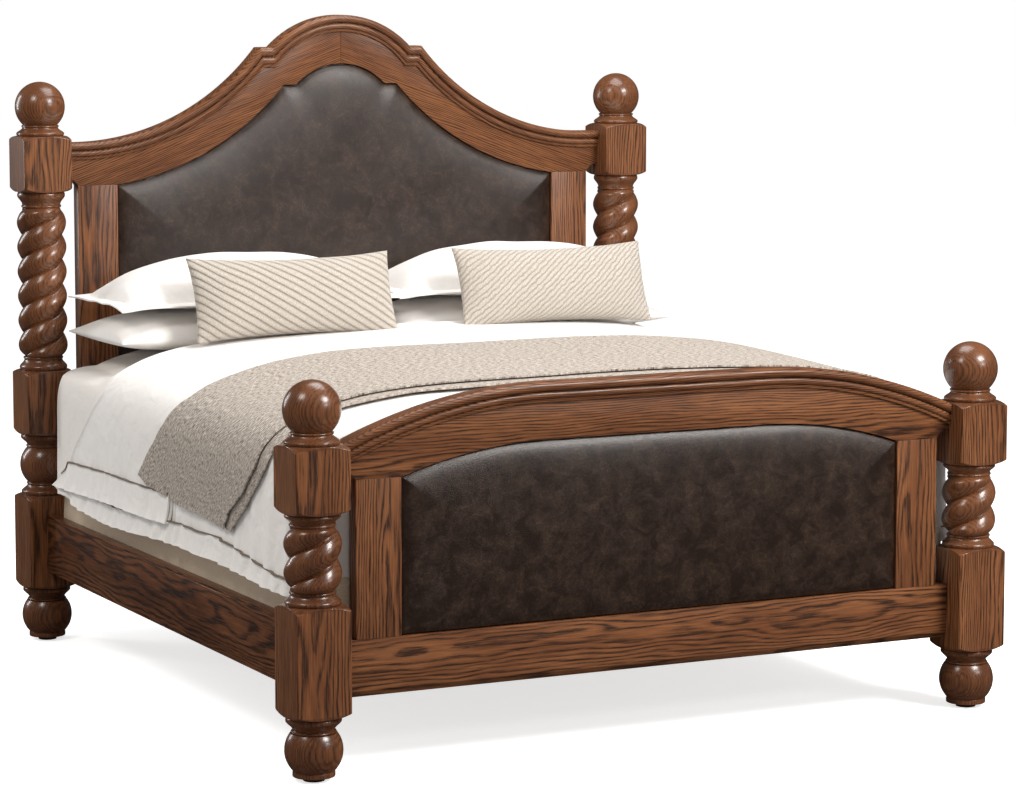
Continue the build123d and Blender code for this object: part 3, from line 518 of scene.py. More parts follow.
def arch_line(inset, fine=70):
    """Footboard arch from the centre to the post, at a distance inside the outer edge."""
    radius = 1.450 - inset
    flat = [(x, 0.993 - inset) for x in np.linspace(0, 0.330, 12)[:-1]]
    fall = [(x, -0.457 + math.sqrt(radius ** 2 - (x - 0.330) ** 2)) for x in np.linspace(0.330, POST_FACE_X, fine)]
    return np.array(flat + fall)


turns = np.linspace(0, np.pi, 15)
MOULDING = [(0.0, 0.0)] + [(0.0118 - 0.0117 * math.cos(a), 0.0035 + 0.0140 * math.sin(a) ** 0.8) for a in turns]
MOULDING += [(0.0242, 0.0040), (0.0262, 0.0040)]
MOULDING += [(0.0350 - 0.0086 * math.cos(a), 0.0050 + 0.0072 * math.sin(a) ** 0.8) for a in turns]
MOULDING += [(0.0440, 0.0048), (0.0452, 0.0048), (0.0456, 0.0070), (0.0520, 0.0066), (0.0530, 0.0052), (0.0531, 0.0)]


def run_moulding(name, line_at, face, sides):
    """The moulding's section carried along the edge, over the left half, the right half or both."""
    lines = [(line_at(inset), proud) for inset, proud in MOULDING]
    count = len(lines[0][0])
    stops = [(-1, i) for i in range(count - 1, -1, -1)] if -1 in sides else []
    stops += [(1, i) for i in range(1 if stops else 0, count)] if 1 in sides else []
    return shell(name, [[(side * line[i][0], face - proud, line[i][1]) for line, proud in lines] for side, i in stops])


for side_name, side in (("left", -1), ("right", 1)):
    moulding = run_moulding(f"crest_moulding_{side_name}_run", crest_line, HEAD_FACE, (side,))
    finish(moulding, wood(f"oak_crest_moulding_{side_name}", "X", (side * 0.4, 1.12, 1.33), tilt=-side * 0.5), crease=28)
    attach(moulding, "bedstead")
    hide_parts(f"crest_moulding_{side_name}")
arch_run = run_moulding("arch_moulding_run", arch_line, FOOT_FACE, (-1, 1))
finish(arch_run, wood("oak_arch_moulding", "X", (0.0, -0.99, 0.80)), crease=28)
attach(arch_run, "bedstead")
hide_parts("arch_moulding")

# Leather pads: aniline-look leather pulled over foam on a plywood board, sunk into the opening of each
# board, so the edge rolls in all round. The hide is dark brown, with pale pull-up marks and fine pores.
hide, h_in, h_out = group(
    "pull_up_leather",
    {"Vector": "Vector", "Dark": "Color", "Light": "Color"},
    {"Color": "Color", "Roughness": "Float", "Height": "Float"},
)
spot = h_in.outputs["Vector"]
cloud = add(hide, "ShaderNodeTexNoise", {"Vector": spot, "Scale": 19.0, "Detail": 6.0, "Roughness": 0.7, "Distortion": 0.5})
warp = add(hide, "ShaderNodeTexNoise", {"Vector": spot, "Scale": 24.0, "Detail": 4.0, "Roughness": 0.6})
pushed = add(hide, "ShaderNodeVectorMath", {0: stretched(hide, warp.outputs["Color"], (0.07, 0.07, 0.07)), 1: spot}, operation="ADD")
vein = add(hide, "ShaderNodeTexVoronoi", {"Vector": pushed.outputs[0], "Scale": 46.0}, feature="DISTANCE_TO_EDGE")
veins = ramp(hide, vein.outputs["Distance"], (0.0, 0.62), (0.05, 0.12), (0.12, 0.0))
patch = ramp(hide, cloud.outputs["Fac"], (0.40, 0.0), (0.66, 1.0))
pebble = add(hide, "ShaderNodeTexVoronoi", {"Vector": spot, "Scale": 520.0})
marks = add(hide, "ShaderNodeMath", {0: veins, 1: patch}, operation="MULTIPLY")
tone = add(hide, "ShaderNodeMath", {0: patch, 1: 0.38}, operation="MULTIPLY")
tone = add(hide, "ShaderNodeMath", {0: tone.outputs[0], 1: marks.outputs[0]}, operation="ADD", use_clamp=True)
hide.links.new(mixed(hide, tone.outputs[0], h_in.outputs["Dark"], h_in.outputs["Light"]), h_out.inputs["Color"])
rough = add(hide, "ShaderNodeMapRange", {"Value": cloud.outputs["Fac"], "From Min": 0.3, "From Max": 0.7, "To Min": 0.29, "To Max": 0.40})
hide.links.new(rough.outputs[0], h_out.inputs["Roughness"])
dents = add(hide, "ShaderNodeMath", {0: veins, 1: -0.25}, operation="MULTIPLY")
dents = add(hide, "ShaderNodeMath", {0: pebble.outputs["Distance"], 1: dents.outputs[0]}, operation="ADD")
hide.links.new(dents.outputs[0], h_out.inputs["Height"])

leather = bpy.data.materials.new("brown_leather")
leather.use_nodes = True
tree = leather.node_tree
shader = tree.nodes["Principled BSDF"]
cover = add(tree, "ShaderNodeGroup", node_tree=hide)
tree.links.new(add(tree, "ShaderNodeTexCoord").outputs["Object"], cover.inputs["Vector"])
cover.inputs["Dark"].default_value = (0.0160, 0.0074, 0.0042, 1)
cover.inputs["Light"].default_value = (0.064, 0.035, 0.022, 1)
tree.links.new(cover.outputs["Color"], shader.inputs["Base Color"])
tree.links.new(cover.outputs["Roughness"], shader.inputs["Roughness"])
bump = add(tree, "ShaderNodeBump", {"Height": cover.outputs["Height"], "Distance": 0.0009, "Strength": 0.35})
tree.links.new(bump.outputs[0], shader.inputs["Normal"])
shader.inputs["Specular IOR Level"].default_value = 0.5

STILE_INNER = 0.755
RAIL_TOP = 0.355


def head_opening(x):
    """Top edge of the headboard's opening at a place across it."""
    x = np.abs(x)
    dome = 1.555 + np.sqrt(np.maximum(0, 0.215 ** 2 - x ** 2))
    sweep = 2.309 - np.sqrt(np.maximum(0, 0.913 ** 2 - (x - 0.880) ** 2))
    inner = math.sqrt(0.215 ** 2 - 0.15 ** 2)
    outer = 0.880 - math.sqrt(0.913 ** 2 - (2.309 - 1.705) ** 2)
    return np.where(x < inner, dome, np.where(x < outer, 1.705, sweep))


def foot_opening(x):
    x = np.abs(x)
    return np.where(x < 0.330, 0.841, -0.457 + np.sqrt(np.maximum(0, 1.298 ** 2 - (x - 0.330) ** 2)))


def leather_pad(name, opening, face, low, columns=220, rows=150):
    """Crowned pad: high over the middle, rolled down into the groove all round, flat at the back."""
    gap = 0.003
    ease = lambda n: 0.5 - 0.5 * np.cos(np.linspace(0, np.pi, n)) * (0.75 + 0.25 * np.abs(np.cos(np.linspace(0, np.pi, n))))
    across = -(STILE_INNER - gap) + 2 * (STILE_INNER - gap) * ease(columns)
    up = ease(rows)
    tops = opening(across) - gap
    x = np.repeat(across[None, :], rows, 0)
    z = low + gap + (tops[None, :] - low - gap) * up[:, None]
    edge_x = np.linspace(-STILE_INNER + gap, STILE_INNER - gap, 500)
    edge = np.stack([edge_x, opening(edge_x) - gap], 1)
    away = np.full(x.shape, 9.0)
    for px, pz in edge:
        away = np.minimum(away, np.hypot(x - px, z - pz))
    away = np.minimum(away, np.minimum(z - low - gap, STILE_INNER - gap - np.abs(x)))
    roll = 1 - np.exp(-np.maximum(away, 0) / 0.014)
    swell = 1 - np.exp(-np.maximum(away, 0) / 0.085)
    lumps = 0.0006 * np.sin(11 * x + 3 * np.sin(7 * z)) * np.sin(9 * z + 1.3) + 0.0004 * np.sin(27 * x + 5 * z)
    proud = -0.008 + 0.0085 * roll + 0.0165 * swell + lumps * roll
    y = face - proud
    front = np.stack([x, y, z], 2)
    ring = lambda a: np.concatenate([a[0], a[1:, -1], a[-1, ::-1][1:], a[::-1, 0][1:-1]])
    back = ring(front).copy()
    back[:, 1] = face + 0.022
    points = [tuple(p) for p in front.reshape(-1, 3)] + [tuple(p) for p in back]
    number = np.arange(rows * columns).reshape(rows, columns)
    rim = list(ring(number[:, :, None])[:, 0])
    faces = []
    for i in range(rows - 1):
        for j in range(columns - 1):
            faces.append((number[i, j], number[i, j + 1], number[i + 1, j + 1], number[i + 1, j]))
    first = rows * columns
    count = len(rim)
    for k in range(count):
        n = (k + 1) % count
        faces.append((rim[k], rim[n], first + n, first + k))
    faces.append(tuple(range(first, first + count)))
    mesh = bpy.data.meshes.new(name)
    mesh.from_pydata(points, [], [tuple(int(v) for v in f) for f in faces])
    piece = bpy.data.objects.new(name, mesh)
    bpy.context.scene.collection.objects.link(piece)
    return finish(piece, leather, crease=70)


for board, opening, face in (("headboard", head_opening, HEAD_FACE), ("footboard", foot_opening, FOOT_FACE)):
    pad = leather_pad(board + "_pad", opening, face, RAIL_TOP)
    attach(pad, "bedstead")
    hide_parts(board + "_leather_pad")

# Hidden carcase: back panels and pad boards of birch plywood, pine ledgers, slats and legs, zinc-plated
# bed hooks and dark glides. They keep the shapes of the CAD and only take their finish here.
PALE = {"Dark": (0.30, 0.17, 0.08), "Middle": (0.50, 0.33, 0.19), "Light": (0.60, 0.43, 0.27)}
pine = wood("pine", "X", (0.0, 0.3, 0.1), PALE, ring_width=0.016, coat=0.0)
pine_upright = wood("pine_upright", "Z", (0.06, 0.4, 0.1), PALE, ring_width=0.016, coat=0.0)
pine_long = wood("pine_long", "Y", (0.3, 0.0, 0.12), PALE, ring_width=0.016, coat=0.0)
panel = wood("stained_plywood", "Z", (0.2, 1.9, 0.4), {k: tuple(c * 0.75 for c in v) for k, v in OAK.items()}, ring_width=0.011, coat=0.05, contrast=0.55)
zinc = bpy.data.materials.new("zinc_plate")
zinc.use_nodes = True
tree = zinc.node_tree
shader = tree.nodes["Principled BSDF"]
bloom = add(tree, "ShaderNodeTexNoise", {"Vector": add(tree, "ShaderNodeTexCoord").outputs["Object"], "Scale": 160.0, "Detail": 3.0})
tree.links.new(ramp(tree, bloom.outputs["Fac"], (0.3, (0.42, 0.42, 0.43)), (0.7, (0.66, 0.66, 0.68))), shader.inputs["Base Color"])
shader.inputs["Metallic"].default_value = 1.0
shader.inputs["Roughness"].default_value = 0.38
glide = bpy.data.materials.new("black_glide")
glide.use_nodes = True
tree = glide.node_tree
shader = tree.nodes["Principled BSDF"]
scuff = add(tree, "ShaderNodeTexNoise", {"Vector": add(tree, "ShaderNodeTexCoord").outputs["Object"], "Scale": 240.0, "Detail": 4.0})
tree.links.new(ramp(tree, scuff.outputs["Fac"], (0.35, (0.02, 0.014, 0.011)), (0.7, (0.05, 0.038, 0.03))), shader.inputs["Base Color"])
shader.inputs["Roughness"].default_value = 0.6
for node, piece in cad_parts.items():
    finish_for = None
    if node.endswith(("back_panel", "pad_board")):
        finish_for = panel
    elif node.startswith("slat"):
        finish_for = pine
    elif node.startswith("support_leg"):
        finish_for = pine_upright
    elif node.startswith("ledger") or node == "centre_beam":
        finish_for = pine_long
    elif node in ("rail_hooks", "post_plates", "beam_hangers"):
        finish_for = zinc
    elif node == "floor_glides":
        finish_for = glide
    if finish_for:
        piece.data.materials.clear()
        piece.data.materials.append(finish_for)

# Box springs and mattress: two half-width box springs side by side under a padded mattress, all in beige
# linen with a piped edge. Only a strip of them shows between the coverlet's hem and the side rail.
weave, w_in, w_out = group(
    "woven_cloth",
    {"Vector": "Vector", "Thread": "Float", "Dark": "Color", "Light": "Color", "Melange": "Float", "Fleck": "Float"},
    {"Color": "Color", "Height": "Float"},
)
cloth_place = w_in.outputs["Vector"]
pitch = add(weave, "ShaderNodeMath", {0: 0.314, 1: w_in.outputs["Thread"]}, operation="DIVIDE")
warp = add(weave, "ShaderNodeTexWave", {"Vector": cloth_place, "Scale": pitch.outputs[0], "Distortion": 0.6, "Detail": 1.0}, bands_direction="X")
weft = add(weave, "ShaderNodeTexWave", {"Vector": cloth_place, "Scale": pitch.outputs[0], "Distortion": 0.6, "Detail": 1.0}, bands_direction="Y")
cross = add(weave, "ShaderNodeMath", {0: warp.outputs["Fac"], 1: weft.outputs["Fac"]}, operation="ADD")
slub = stretched(weave, cloth_place, (120, 420, 300))
slub = add(weave, "ShaderNodeTexNoise", {"Vector": slub, "Scale": w_in.outputs["Fleck"], "Detail": 3.0, "Roughness": 0.75})
fleck = ramp(weave, slub.outputs["Fac"], (0.36, 0.0), (0.64, 1.0))
amount = add(weave, "ShaderNodeMath", {0: fleck, 1: w_in.outputs["Melange"]}, operation="MULTIPLY")
weave.links.new(mixed(weave, amount.outputs[0], w_in.outputs["Light"], w_in.outputs["Dark"]), w_out.inputs["Color"])
weave.links.new(cross.outputs[0], w_out.inputs["Height"])


def cloth(name, dark, light, thread=0.0016, melange=0.6, depth=0.0005, crumple=0.0, rough=0.85, sheen=0.15, fleck=1.0, lay="Object"):
    """Woven cloth from two yarn colours. Its weave lies on Object coordinates, or on the piece's own map."""
    made = bpy.data.materials.new(name)
    made.use_nodes = True
    tree = made.node_tree
    shader = tree.nodes["Principled BSDF"]
    if lay == "Object":
        place = add(tree, "ShaderNodeTexCoord").outputs["Object"]
    else:
        place = add(tree, "ShaderNodeUVMap", uv_map=lay).outputs[0]
    pattern = add(tree, "ShaderNodeGroup", node_tree=weave)
    tree.links.new(place, pattern.inputs["Vector"])
    pattern.inputs["Thread"].default_value = thread
    pattern.inputs["Melange"].default_value = melange
    pattern.inputs["Fleck"].default_value = fleck
    pattern.inputs["Dark"].default_value = (*dark, 1)
    pattern.inputs["Light"].default_value = (*light, 1)
    tree.links.new(pattern.outputs["Color"], shader.inputs["Base Color"])
    bump = add(tree, "ShaderNodeBump", {"Height": pattern.outputs["Height"], "Distance": depth, "Strength": 0.6})
    last = bump
    if crumple:
        folds = add(tree, "ShaderNodeTexNoise", {"Vector": place, "Scale": 13.0, "Detail": 3.0, "Roughness": 0.45, "Distortion": 0.6})
        last = add(tree, "ShaderNodeBump", {"Height": folds.outputs["Fac"], "Distance": crumple, "Strength": 1.0, "Normal": bump.outputs[0]})
    tree.links.new(last.outputs[0], shader.inputs["Normal"])
    shader.inputs["Roughness"].default_value = rough
    shader.inputs["Sheen Weight"].default_value = sheen
    shader.inputs["Sheen Roughness"].default_value = 0.5
    shader.inputs["Specular IOR Level"].default_value = 0.15
    return made


linen = cloth("beige_linen", (0.46, 0.35, 0.24), (0.74, 0.60, 0.45), thread=0.003, melange=0.5, lay="Object")


def block_cushion(name, outline, low, high, edge, material, seam=True):
    """Upholstered block from a plan outline: rounded top and bottom edges with a piping at each."""
    middle = outline.mean(0)
    rows = []
    turns = np.linspace(0, np.pi / 2, 7)
    levels = [(low, -edge * 2.2), (low, -edge)] + [(low + edge * (1 - math.cos(a)), -edge + edge * math.sin(a)) for a in turns]
    if seam:
        levels += [(low + edge + 0.004, 0.003), (low + edge + 0.008, 0.0035), (low + edge + 0.012, 0.0)]
        levels += [((low + high) / 2, 0.005)]
        levels += [(high - edge - 0.012, 0.0), (high - edge - 0.008, 0.0035), (high - edge - 0.004, 0.003)]
    levels += [(high - edge * (1 - math.sin(a)), -edge + edge * math.cos(a)) for a in turns]
    levels += [(high, -edge * 2.2)]
    away = outline - np.roll(outline, 1, 0)
    normal = np.stack([away[:, 1], -away[:, 0]], 1)
    normal = normal + np.roll(normal, -1, 0)
    normal /= np.linalg.norm(normal, axis=1)[:, None]
    for z, out in levels:
        rows.append(np.column_stack([outline + normal * out, np.full(len(outline), z)]))
    return finish(shell(name, rows), material, crease=60)


def rounded_plan(x_low, x_high, y_low, y_high, corner, count=14):
    """Plan outline with rounded corners, anticlockwise."""
    points = []
    for cx, cy, start in ((x_high, y_low, -90), (x_high, y_high, 0), (x_low, y_high, 90), (x_low, y_low, 180)):
        cx += corner if cx == x_low else -corner
        cy += corner if cy == y_low else -corner
        for a in np.radians(np.linspace(start, start + 90, count)):
            points.append((cx + corner * math.cos(a), cy + corner * math.sin(a)))
    return np.array(points)


for side_name, side in (("left", -1), ("right", 1)):
    low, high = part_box(f"box_spring_{side_name}")
    spring = block_cushion(
        f"box_spring_{side_name}_cover", rounded_plan(low[0], high[0], low[1], high[1], 0.085), low[2], high[2], 0.012, linen,
    )
    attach(spring, "bedstead")
    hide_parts(f"box_spring_{side_name}")
low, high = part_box("mattress")
mattress = block_cushion("mattress_cover_piece", rounded_plan(low[0], high[0], low[1], high[1], 0.15), low[2], high[2], 0.028, linen)
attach(mattress, "mattress_set")
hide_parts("mattress")

# Duvet: white cotton percale over down. It covers the mattress, falls down both sides inside the posts
# and lies in broad soft swells. The same curve across the bed carries the coverlet and the throw.
COTTON_DARK, COTTON_LIGHT = (0.80, 0.765, 0.73), (0.90, 0.872, 0.845)
# The duvet's cotton is a darker, warmer white than the coverlet's, standing for the shade on the bed's side: painted
# shade.
cotton = cloth("white_cotton_darkened_for_shade", (0.74, 0.69, 0.64), (0.87, 0.835, 0.795), thread=0.0011, melange=0.25, depth=0.0002, crumple=0.006)
HALF_WIDTH, SHOULDER_Z, RISE, SQUARENESS = 1.008, 0.700, 0.257, 3.6
sweep = np.linspace(0, np.pi / 2, 500)
path_x = np.append(HALF_WIDTH * np.sin(sweep) ** (2 / SQUARENESS), HALF_WIDTH)
path_z = np.append(SHOULDER_Z + RISE * np.cos(sweep) ** (2 / SQUARENESS), 0.40)
path_s = np.append(0, np.cumsum(np.hypot(np.diff(path_x), np.diff(path_z))))
path_h = np.gradient(path_x, path_s)
path_v = np.gradient(path_z, path_s)
PLAN = [(-1.003, 0.895), (-0.990, 0.910), (-0.972, 0.915), (-0.962, 0.918), (-0.958, 0.945), (-0.948, 0.972), (-0.930, 0.995)]
PLAN = PLAN + [(-0.905, 1.008), (0.905, 1.008)] + [(-y, w) for y, w in PLAN[::-1]]
plan_y = np.array([p[0] for p in PLAN])
plan_w = np.array([p[1] for p in PLAN])


def s_at(z):
    """Distance round the duvet's curve from its middle to a level on its side."""
    return float(np.interp(-z, -path_z[np.argsort(-path_z)], path_s[np.argsort(-path_z)]))


def lie(y, s, out):
    """Points lying on the duvet: y along the bed, s across it from the middle, out above the cover."""
    y, s, out = np.broadcast_arrays(np.asarray(y, float), np.asarray(s, float), np.asarray(out, float))
    width = np.interp(y, plan_y, plan_w) / HALF_WIDTH
    along = np.abs(s)
    h, v = np.interp(along, path_s, path_h), np.interp(along, path_s, path_v)
    size = np.hypot(h, v)
    x = np.interp(along, path_s, path_x) * width - out * v / size
    z = np.interp(along, path_s, path_z) + out * h / size
    z = z + 0.025 * y * np.clip((z - 0.5) / 0.45, 0, 1)
    return np.stack([np.sign(s + 1e-9) * x, y, z], -1)


def swells(y, s, size=1.0):
    """Broad swells of the filling and faint folds that run down the sides."""
    side = np.clip((np.abs(s) - 0.95) / 0.35, 0, 1)
    broad = 0.0035 * np.sin(5.1 * s + 1.3 * np.sin(2.7 * y + 0.4)) * np.sin(4.3 * y + 0.8 * np.sin(3.1 * s))
    folds = 0.0030 * np.sin(41 * y + 2.3 * np.sin(9 * y) + 1.4 * s) + 0.0018 * np.sin(87 * y + 3.1 * np.sin(13 * y + 1) - 2 * s)
    return size * (broad * (1 - 0.5 * side) + folds * side ** 1.5)


def thick_sheet(name, outer, inner, material, y_map=None):
    """Closed body between two grids of points, with a map in metres over its outer and inner faces."""
    rows, columns = outer.shape[:2]
    points = [tuple(p) for p in outer.reshape(-1, 3)] + [tuple(p) for p in inner.reshape(-1, 3)]
    number = np.arange(rows * columns).reshape(rows, columns)
    faces = []
    for i in range(rows - 1):
        for j in range(columns - 1):
            quad = (number[i, j], number[i, j + 1], number[i + 1, j + 1], number[i + 1, j])
            faces.append(tuple(int(v) for v in quad))
            faces.append(tuple(int(v) + rows * columns for v in quad[::-1]))
    rim = list(number[0]) + list(number[1:, -1]) + list(number[-1, ::-1][1:]) + list(number[::-1, 0][1:-1])
    for k, a in enumerate(rim):
        b = rim[(k + 1) % len(rim)]
        faces.append((int(b), int(a), int(a) + rows * columns, int(b) + rows * columns))
    mesh = bpy.data.meshes.new(name)
    mesh.from_pydata(points, [], faces)
    run_a = np.zeros((rows, columns))
    run_b = np.zeros((rows, columns))
    run_a[:, 1:] = np.cumsum(np.linalg.norm(np.diff(outer, axis=1), axis=2), axis=1)
    run_b[1:, :] = np.cumsum(np.linalg.norm(np.diff(outer, axis=0), axis=2), axis=0)
    place = np.stack([run_a, run_b], -1).reshape(-1, 2)
    place = np.concatenate([place, place])
    layer = mesh.uv_layers.new(name="cloth_map")
    index = np.zeros(len(mesh.loops), dtype=int)
    mesh.loops.foreach_get("vertex_index", index)
    layer.data.foreach_set("uv", place[index].ravel())
    piece = bpy.data.objects.new(name, mesh)
    bpy.context.scene.collection.objects.link(piece)
    return finish(piece, material, crease=60)


stations = np.concatenate([np.linspace(-1.003, -0.90, 16), np.linspace(-0.90, 0.90, 130)[1:], np.linspace(0.90, 1.003, 16)[1:]])
reach = s_at(0.474)
spans = np.linspace(-reach, reach, 260)
grid_y, grid_s = np.meshgrid(stations, spans, indexing="ij")
fall = np.minimum(grid_y + 1.003, 1.003 - grid_y)
tuck = -0.030 * (1 - np.clip(fall / 0.03, 0, 1)) ** 2
dip = -0.050 * (0.5 - 0.5 * np.cos(np.pi * np.clip((grid_y - 0.53) / 0.10, 0, 1))) * np.clip((1.02 - np.abs(grid_s)) / 0.10, 0, 1)
outer = lie(grid_y, grid_s, tuck + dip + swells(grid_y, grid_s))
inner = lie(grid_y, grid_s, tuck + dip + swells(grid_y, grid_s) - 0.022)
duvet = thick_sheet("duvet_cover", outer, inner, cotton)
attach(duvet, "mattress_set")
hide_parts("duvet")

# Coverlet: white cotton quilt laid over the duvet. Its head end is drawn back, so its edge runs down the
# side on a slant, and near there the top layer is folded to a cuff. The under layer has a hem band, and a
# dark strip along the top of the hem band and of the cuff stands for the shadow in the seam: painted shade.
coverlet_cloth = cloth("white_coverlet", COTTON_DARK, COTTON_LIGHT, thread=0.0011, melange=0.25, depth=0.0002, crumple=0.009)
# Dark cloth for the strips along the seams: painted shade in the seam's crease.
seam_shade_cloth = cloth("painted_seam_shade", (0.10, 0.075, 0.055), (0.21, 0.165, 0.13), thread=0.0011, melange=0.5, depth=0.0002)
edge_s = [0, 0.60, 0.85] + [s_at(z) for z in (0.884, 0.805, 0.736, 0.655, 0.590, 0.547, 0.505)] + [1.6]
edge_y = [0.50, 0.49, 0.475, 0.470, 0.485, 0.569, 0.674, 0.737, 0.808, 0.873, 0.92]
hem_y = [-0.99, -0.909, -0.468, -0.064, 0.357, 0.656, 0.819, 0.873]
hem_z = [0.455, 0.460, 0.478, 0.474, 0.452, 0.463, 0.494, 0.505]


def layer(name, foot_y, low_at, gap, thick, rows=170, columns=300, curl=0.0, fold=1.0):
    """Cloth laid over the duvet from a foot edge to the slanting head edge, down to a hem on each side."""
    share = np.linspace(0, 1, rows)[:, None]
    spot = np.linspace(-1, 1, columns)[None, :]
    y = foot_y + (0.6 - foot_y) * share + 0 * spot
    for _ in range(4):
        s = spot * np.vectorize(lambda q: s_at(low_at(q)))(y)
        head = np.interp(np.abs(s), edge_s, edge_y)
        y = foot_y + (head - foot_y) * share
    drop = np.clip((np.abs(s) - 1.0) / 0.35, 0, 1)
    wave = 0.0035 * np.sin(37 * y + 1.7 * np.sin(11 * y)) + 0.0025 * np.sin(71 * y + 2.1 * np.sin(17 * y + 2))
    flare = fold * drop ** 2 * (0.006 + wave)
    rim = np.minimum((1 - share) * (0.6 - foot_y), (1 - np.abs(spot)) * 1.3)
    roll = 0.3 * curl * np.exp(-rim / 0.008)
    flare = flare + curl * np.exp(-(1 - np.abs(spot)) * 1.3 / 0.035)
    base = swells(y, s) + gap + flare
    return thick_sheet(name, lie(y, s, base + thick + roll), lie(y, s, base), coverlet_cloth)


def band(name, side, y_ends, layer_edge, top_at, low_at, gap, thick, material, kick, fold=1.0, rows=300, columns=14):
    """Narrow band along the edge of a layer, on one side of the bed: doubled cloth at the hem and cuff, and a dark
    strip of painted seam shade above each.
    """
    y = np.linspace(*y_ends, rows)[:, None] + np.zeros((1, columns))
    share = np.linspace(0, 1, columns)[None, :]
    s = np.vectorize(lambda q: s_at(top_at(q)))(y) * (1 - share) + np.vectorize(lambda q: s_at(low_at(q)))(y) * share
    drop = np.clip((s - 1.0) / 0.35, 0, 1)
    wave = 0.0035 * np.sin(37 * y + 1.7 * np.sin(11 * y)) + 0.0025 * np.sin(71 * y + 2.1 * np.sin(17 * y + 2))
    edge = np.vectorize(lambda q: s_at(layer_edge(q)))(y)
    base = swells(y, s) + gap + fold * drop ** 2 * (0.006 + wave) + kick * np.exp(-np.maximum(edge - s, 0) / 0.035)
    piece = thick_sheet(name, lie(y, side * s, base + thick), lie(y, side * s, base - 0.002), material)
    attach(piece, "mattress_set")
    return piece


hem_at = lambda q: np.interp(q, hem_y, hem_z)
cuff_at = lambda q: np.interp(q, [-0.12, 0.07, 0.441, 0.701, 0.873], [0.530, 0.522, 0.519, 0.510, 0.507])
under = layer("coverlet_under_layer", -0.955, hem_at, 0.0015, 0.004, curl=0.010)
over = layer("coverlet_cuff_layer", -0.10, cuff_at, 0.0085, 0.005, rows=120, curl=0.013, fold=0.3)
hems, cuffs = [], []
for side_name, side in (("left", -1), ("right", 1)):
    hem_top = lambda q: hem_at(q) + np.interp(q, [-0.95, -0.878, -0.468, -0.07, 0.1], [0.040, 0.042, 0.065, 0.060, 0.058])
    hem_shade_line = lambda q: hem_top(q) + 0.0035
    cuff_top = lambda q: cuff_at(q) + np.interp(q, [0.03, 0.737, 0.80], [0.083, 0.080, 0.040])
    cuff_shade_line = lambda q: cuff_top(q) + 0.0035
    on_hem, on_cuff = (side, (-0.950, 0.70), hem_at), (side, (-0.098, 0.80), cuff_at)
    hems.append(band(f"coverlet_hem_{side_name}", *on_hem, hem_top, hem_at, 0.0058, 0.003, coverlet_cloth, 0.010))
    # Dark strip above the hem band: painted shade in the seam's crease.
    hems.append(band(f"coverlet_hem_seam_shade_{side_name}", *on_hem, hem_shade_line, hem_top, 0.0085, 0.006, seam_shade_cloth, 0.010))
    cuffs.append(band(f"coverlet_cuff_{side_name}", *on_cuff, cuff_top, cuff_at, 0.0138, 0.003, coverlet_cloth, 0.013, 0.3))
    # Dark strip above the cuff: painted shade in the seam's crease.
    cuffs.append(band(f"coverlet_cuff_seam_shade_{side_name}", *on_cuff, cuff_shade_line, cuff_top, 0.0146, 0.006, seam_shade_cloth, 0.013, 0.3))
for cloth_layer, flat in ((under, (1.50, 2.94)), (over, (0.66, 2.84))):
    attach(cloth_layer, "mattress_set")

# Throw: heathered wool laid across the foot of the bed, folded in two lengthwise with the fold toward
# the head. The ends hang down the sides, swung a little toward the head, and the edges lie open.
heather = cloth("heathered_wool", (0.095, 0.064, 0.045), (0.74, 0.665, 0.590), thread=0.0042, melange=0.95, depth=0.0012, rough=0.95, sheen=0.08, fleck=0.55, lay="cloth_map")
head_s = [0, 0.50, 0.686, 0.82, 0.96] + [s_at(z) for z in (0.797, 0.696, 0.637)] + [1.5]
head_y = [-0.015, -0.02, -0.05, -0.085, -0.10, -0.050, 0.060, 0.126, 0.19]
foot_s = [0, 0.70, 0.95] + [s_at(z) for z in (0.842, 0.779, 0.702, 0.622, 0.577)] + [1.5]
foot_y = [-0.700, -0.715, -0.745, -0.745, -0.735, -0.660, -0.560, -0.515, -0.45]
fold = 0.0036
half_turn = np.linspace(0, np.pi, 9)[1:-1]
across = np.concatenate([np.linspace(1.07, 0, 90), -0.001 * np.sin(half_turn), np.linspace(0, 1.0, 86)])
level = np.concatenate([np.zeros(90), fold * (1 - np.cos(half_turn)), np.full(86, 2 * fold)])
spot = np.linspace(-1, 1, 300)
share_grid, spot_grid = np.meshgrid(across, spot, indexing="ij")
level_grid = np.repeat(level[:, None], len(spot), 1)
end_s = np.interp(np.clip(share_grid, 0, 1), [0, 0.12, 0.5, 0.78, 1], [s_at(z) for z in (0.637, 0.617, 0.594, 0.592, 0.577)])
s = spot_grid * end_s
near, far = np.interp(np.abs(s), foot_s, foot_y), np.interp(np.abs(s), head_s, head_y)
waver = 0.006 * np.sin(23 * s + 2) * (level_grid < fold) * np.clip(share_grid, 0, 1) ** 8
y = far + (near - far) * share_grid + waver
open_edge = 0.002 * np.clip((share_grid - 0.9) / 0.1, 0, 1) * (level_grid > fold)
drop = np.clip((np.abs(s) - 1.0) / 0.3, 0, 1)
ripple = 0.0035 * drop * np.sin(19 * y + 1.5 * np.sin(8 * s))
middle = 0.0170 + level_grid + open_edge + ripple + swells(y, s)
side_of = np.concatenate([-np.ones(90), np.zeros(7), np.ones(86)])[:, None]
turn_of = np.concatenate([np.zeros(90), np.sin(half_turn), np.zeros(86)])[:, None]
lean_of = np.concatenate([-np.ones(90), -np.cos(half_turn), np.ones(86)])[:, None]
outer = lie(y + 0.0024 * turn_of, s, middle + 0.0024 * lean_of)
inner = lie(y - 0.0024 * turn_of, s, middle - 0.0024 * lean_of)
throw = thick_sheet("throw_cloth", outer, inner, heather)
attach(throw, "mattress_set")
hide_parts("throw_blanket")

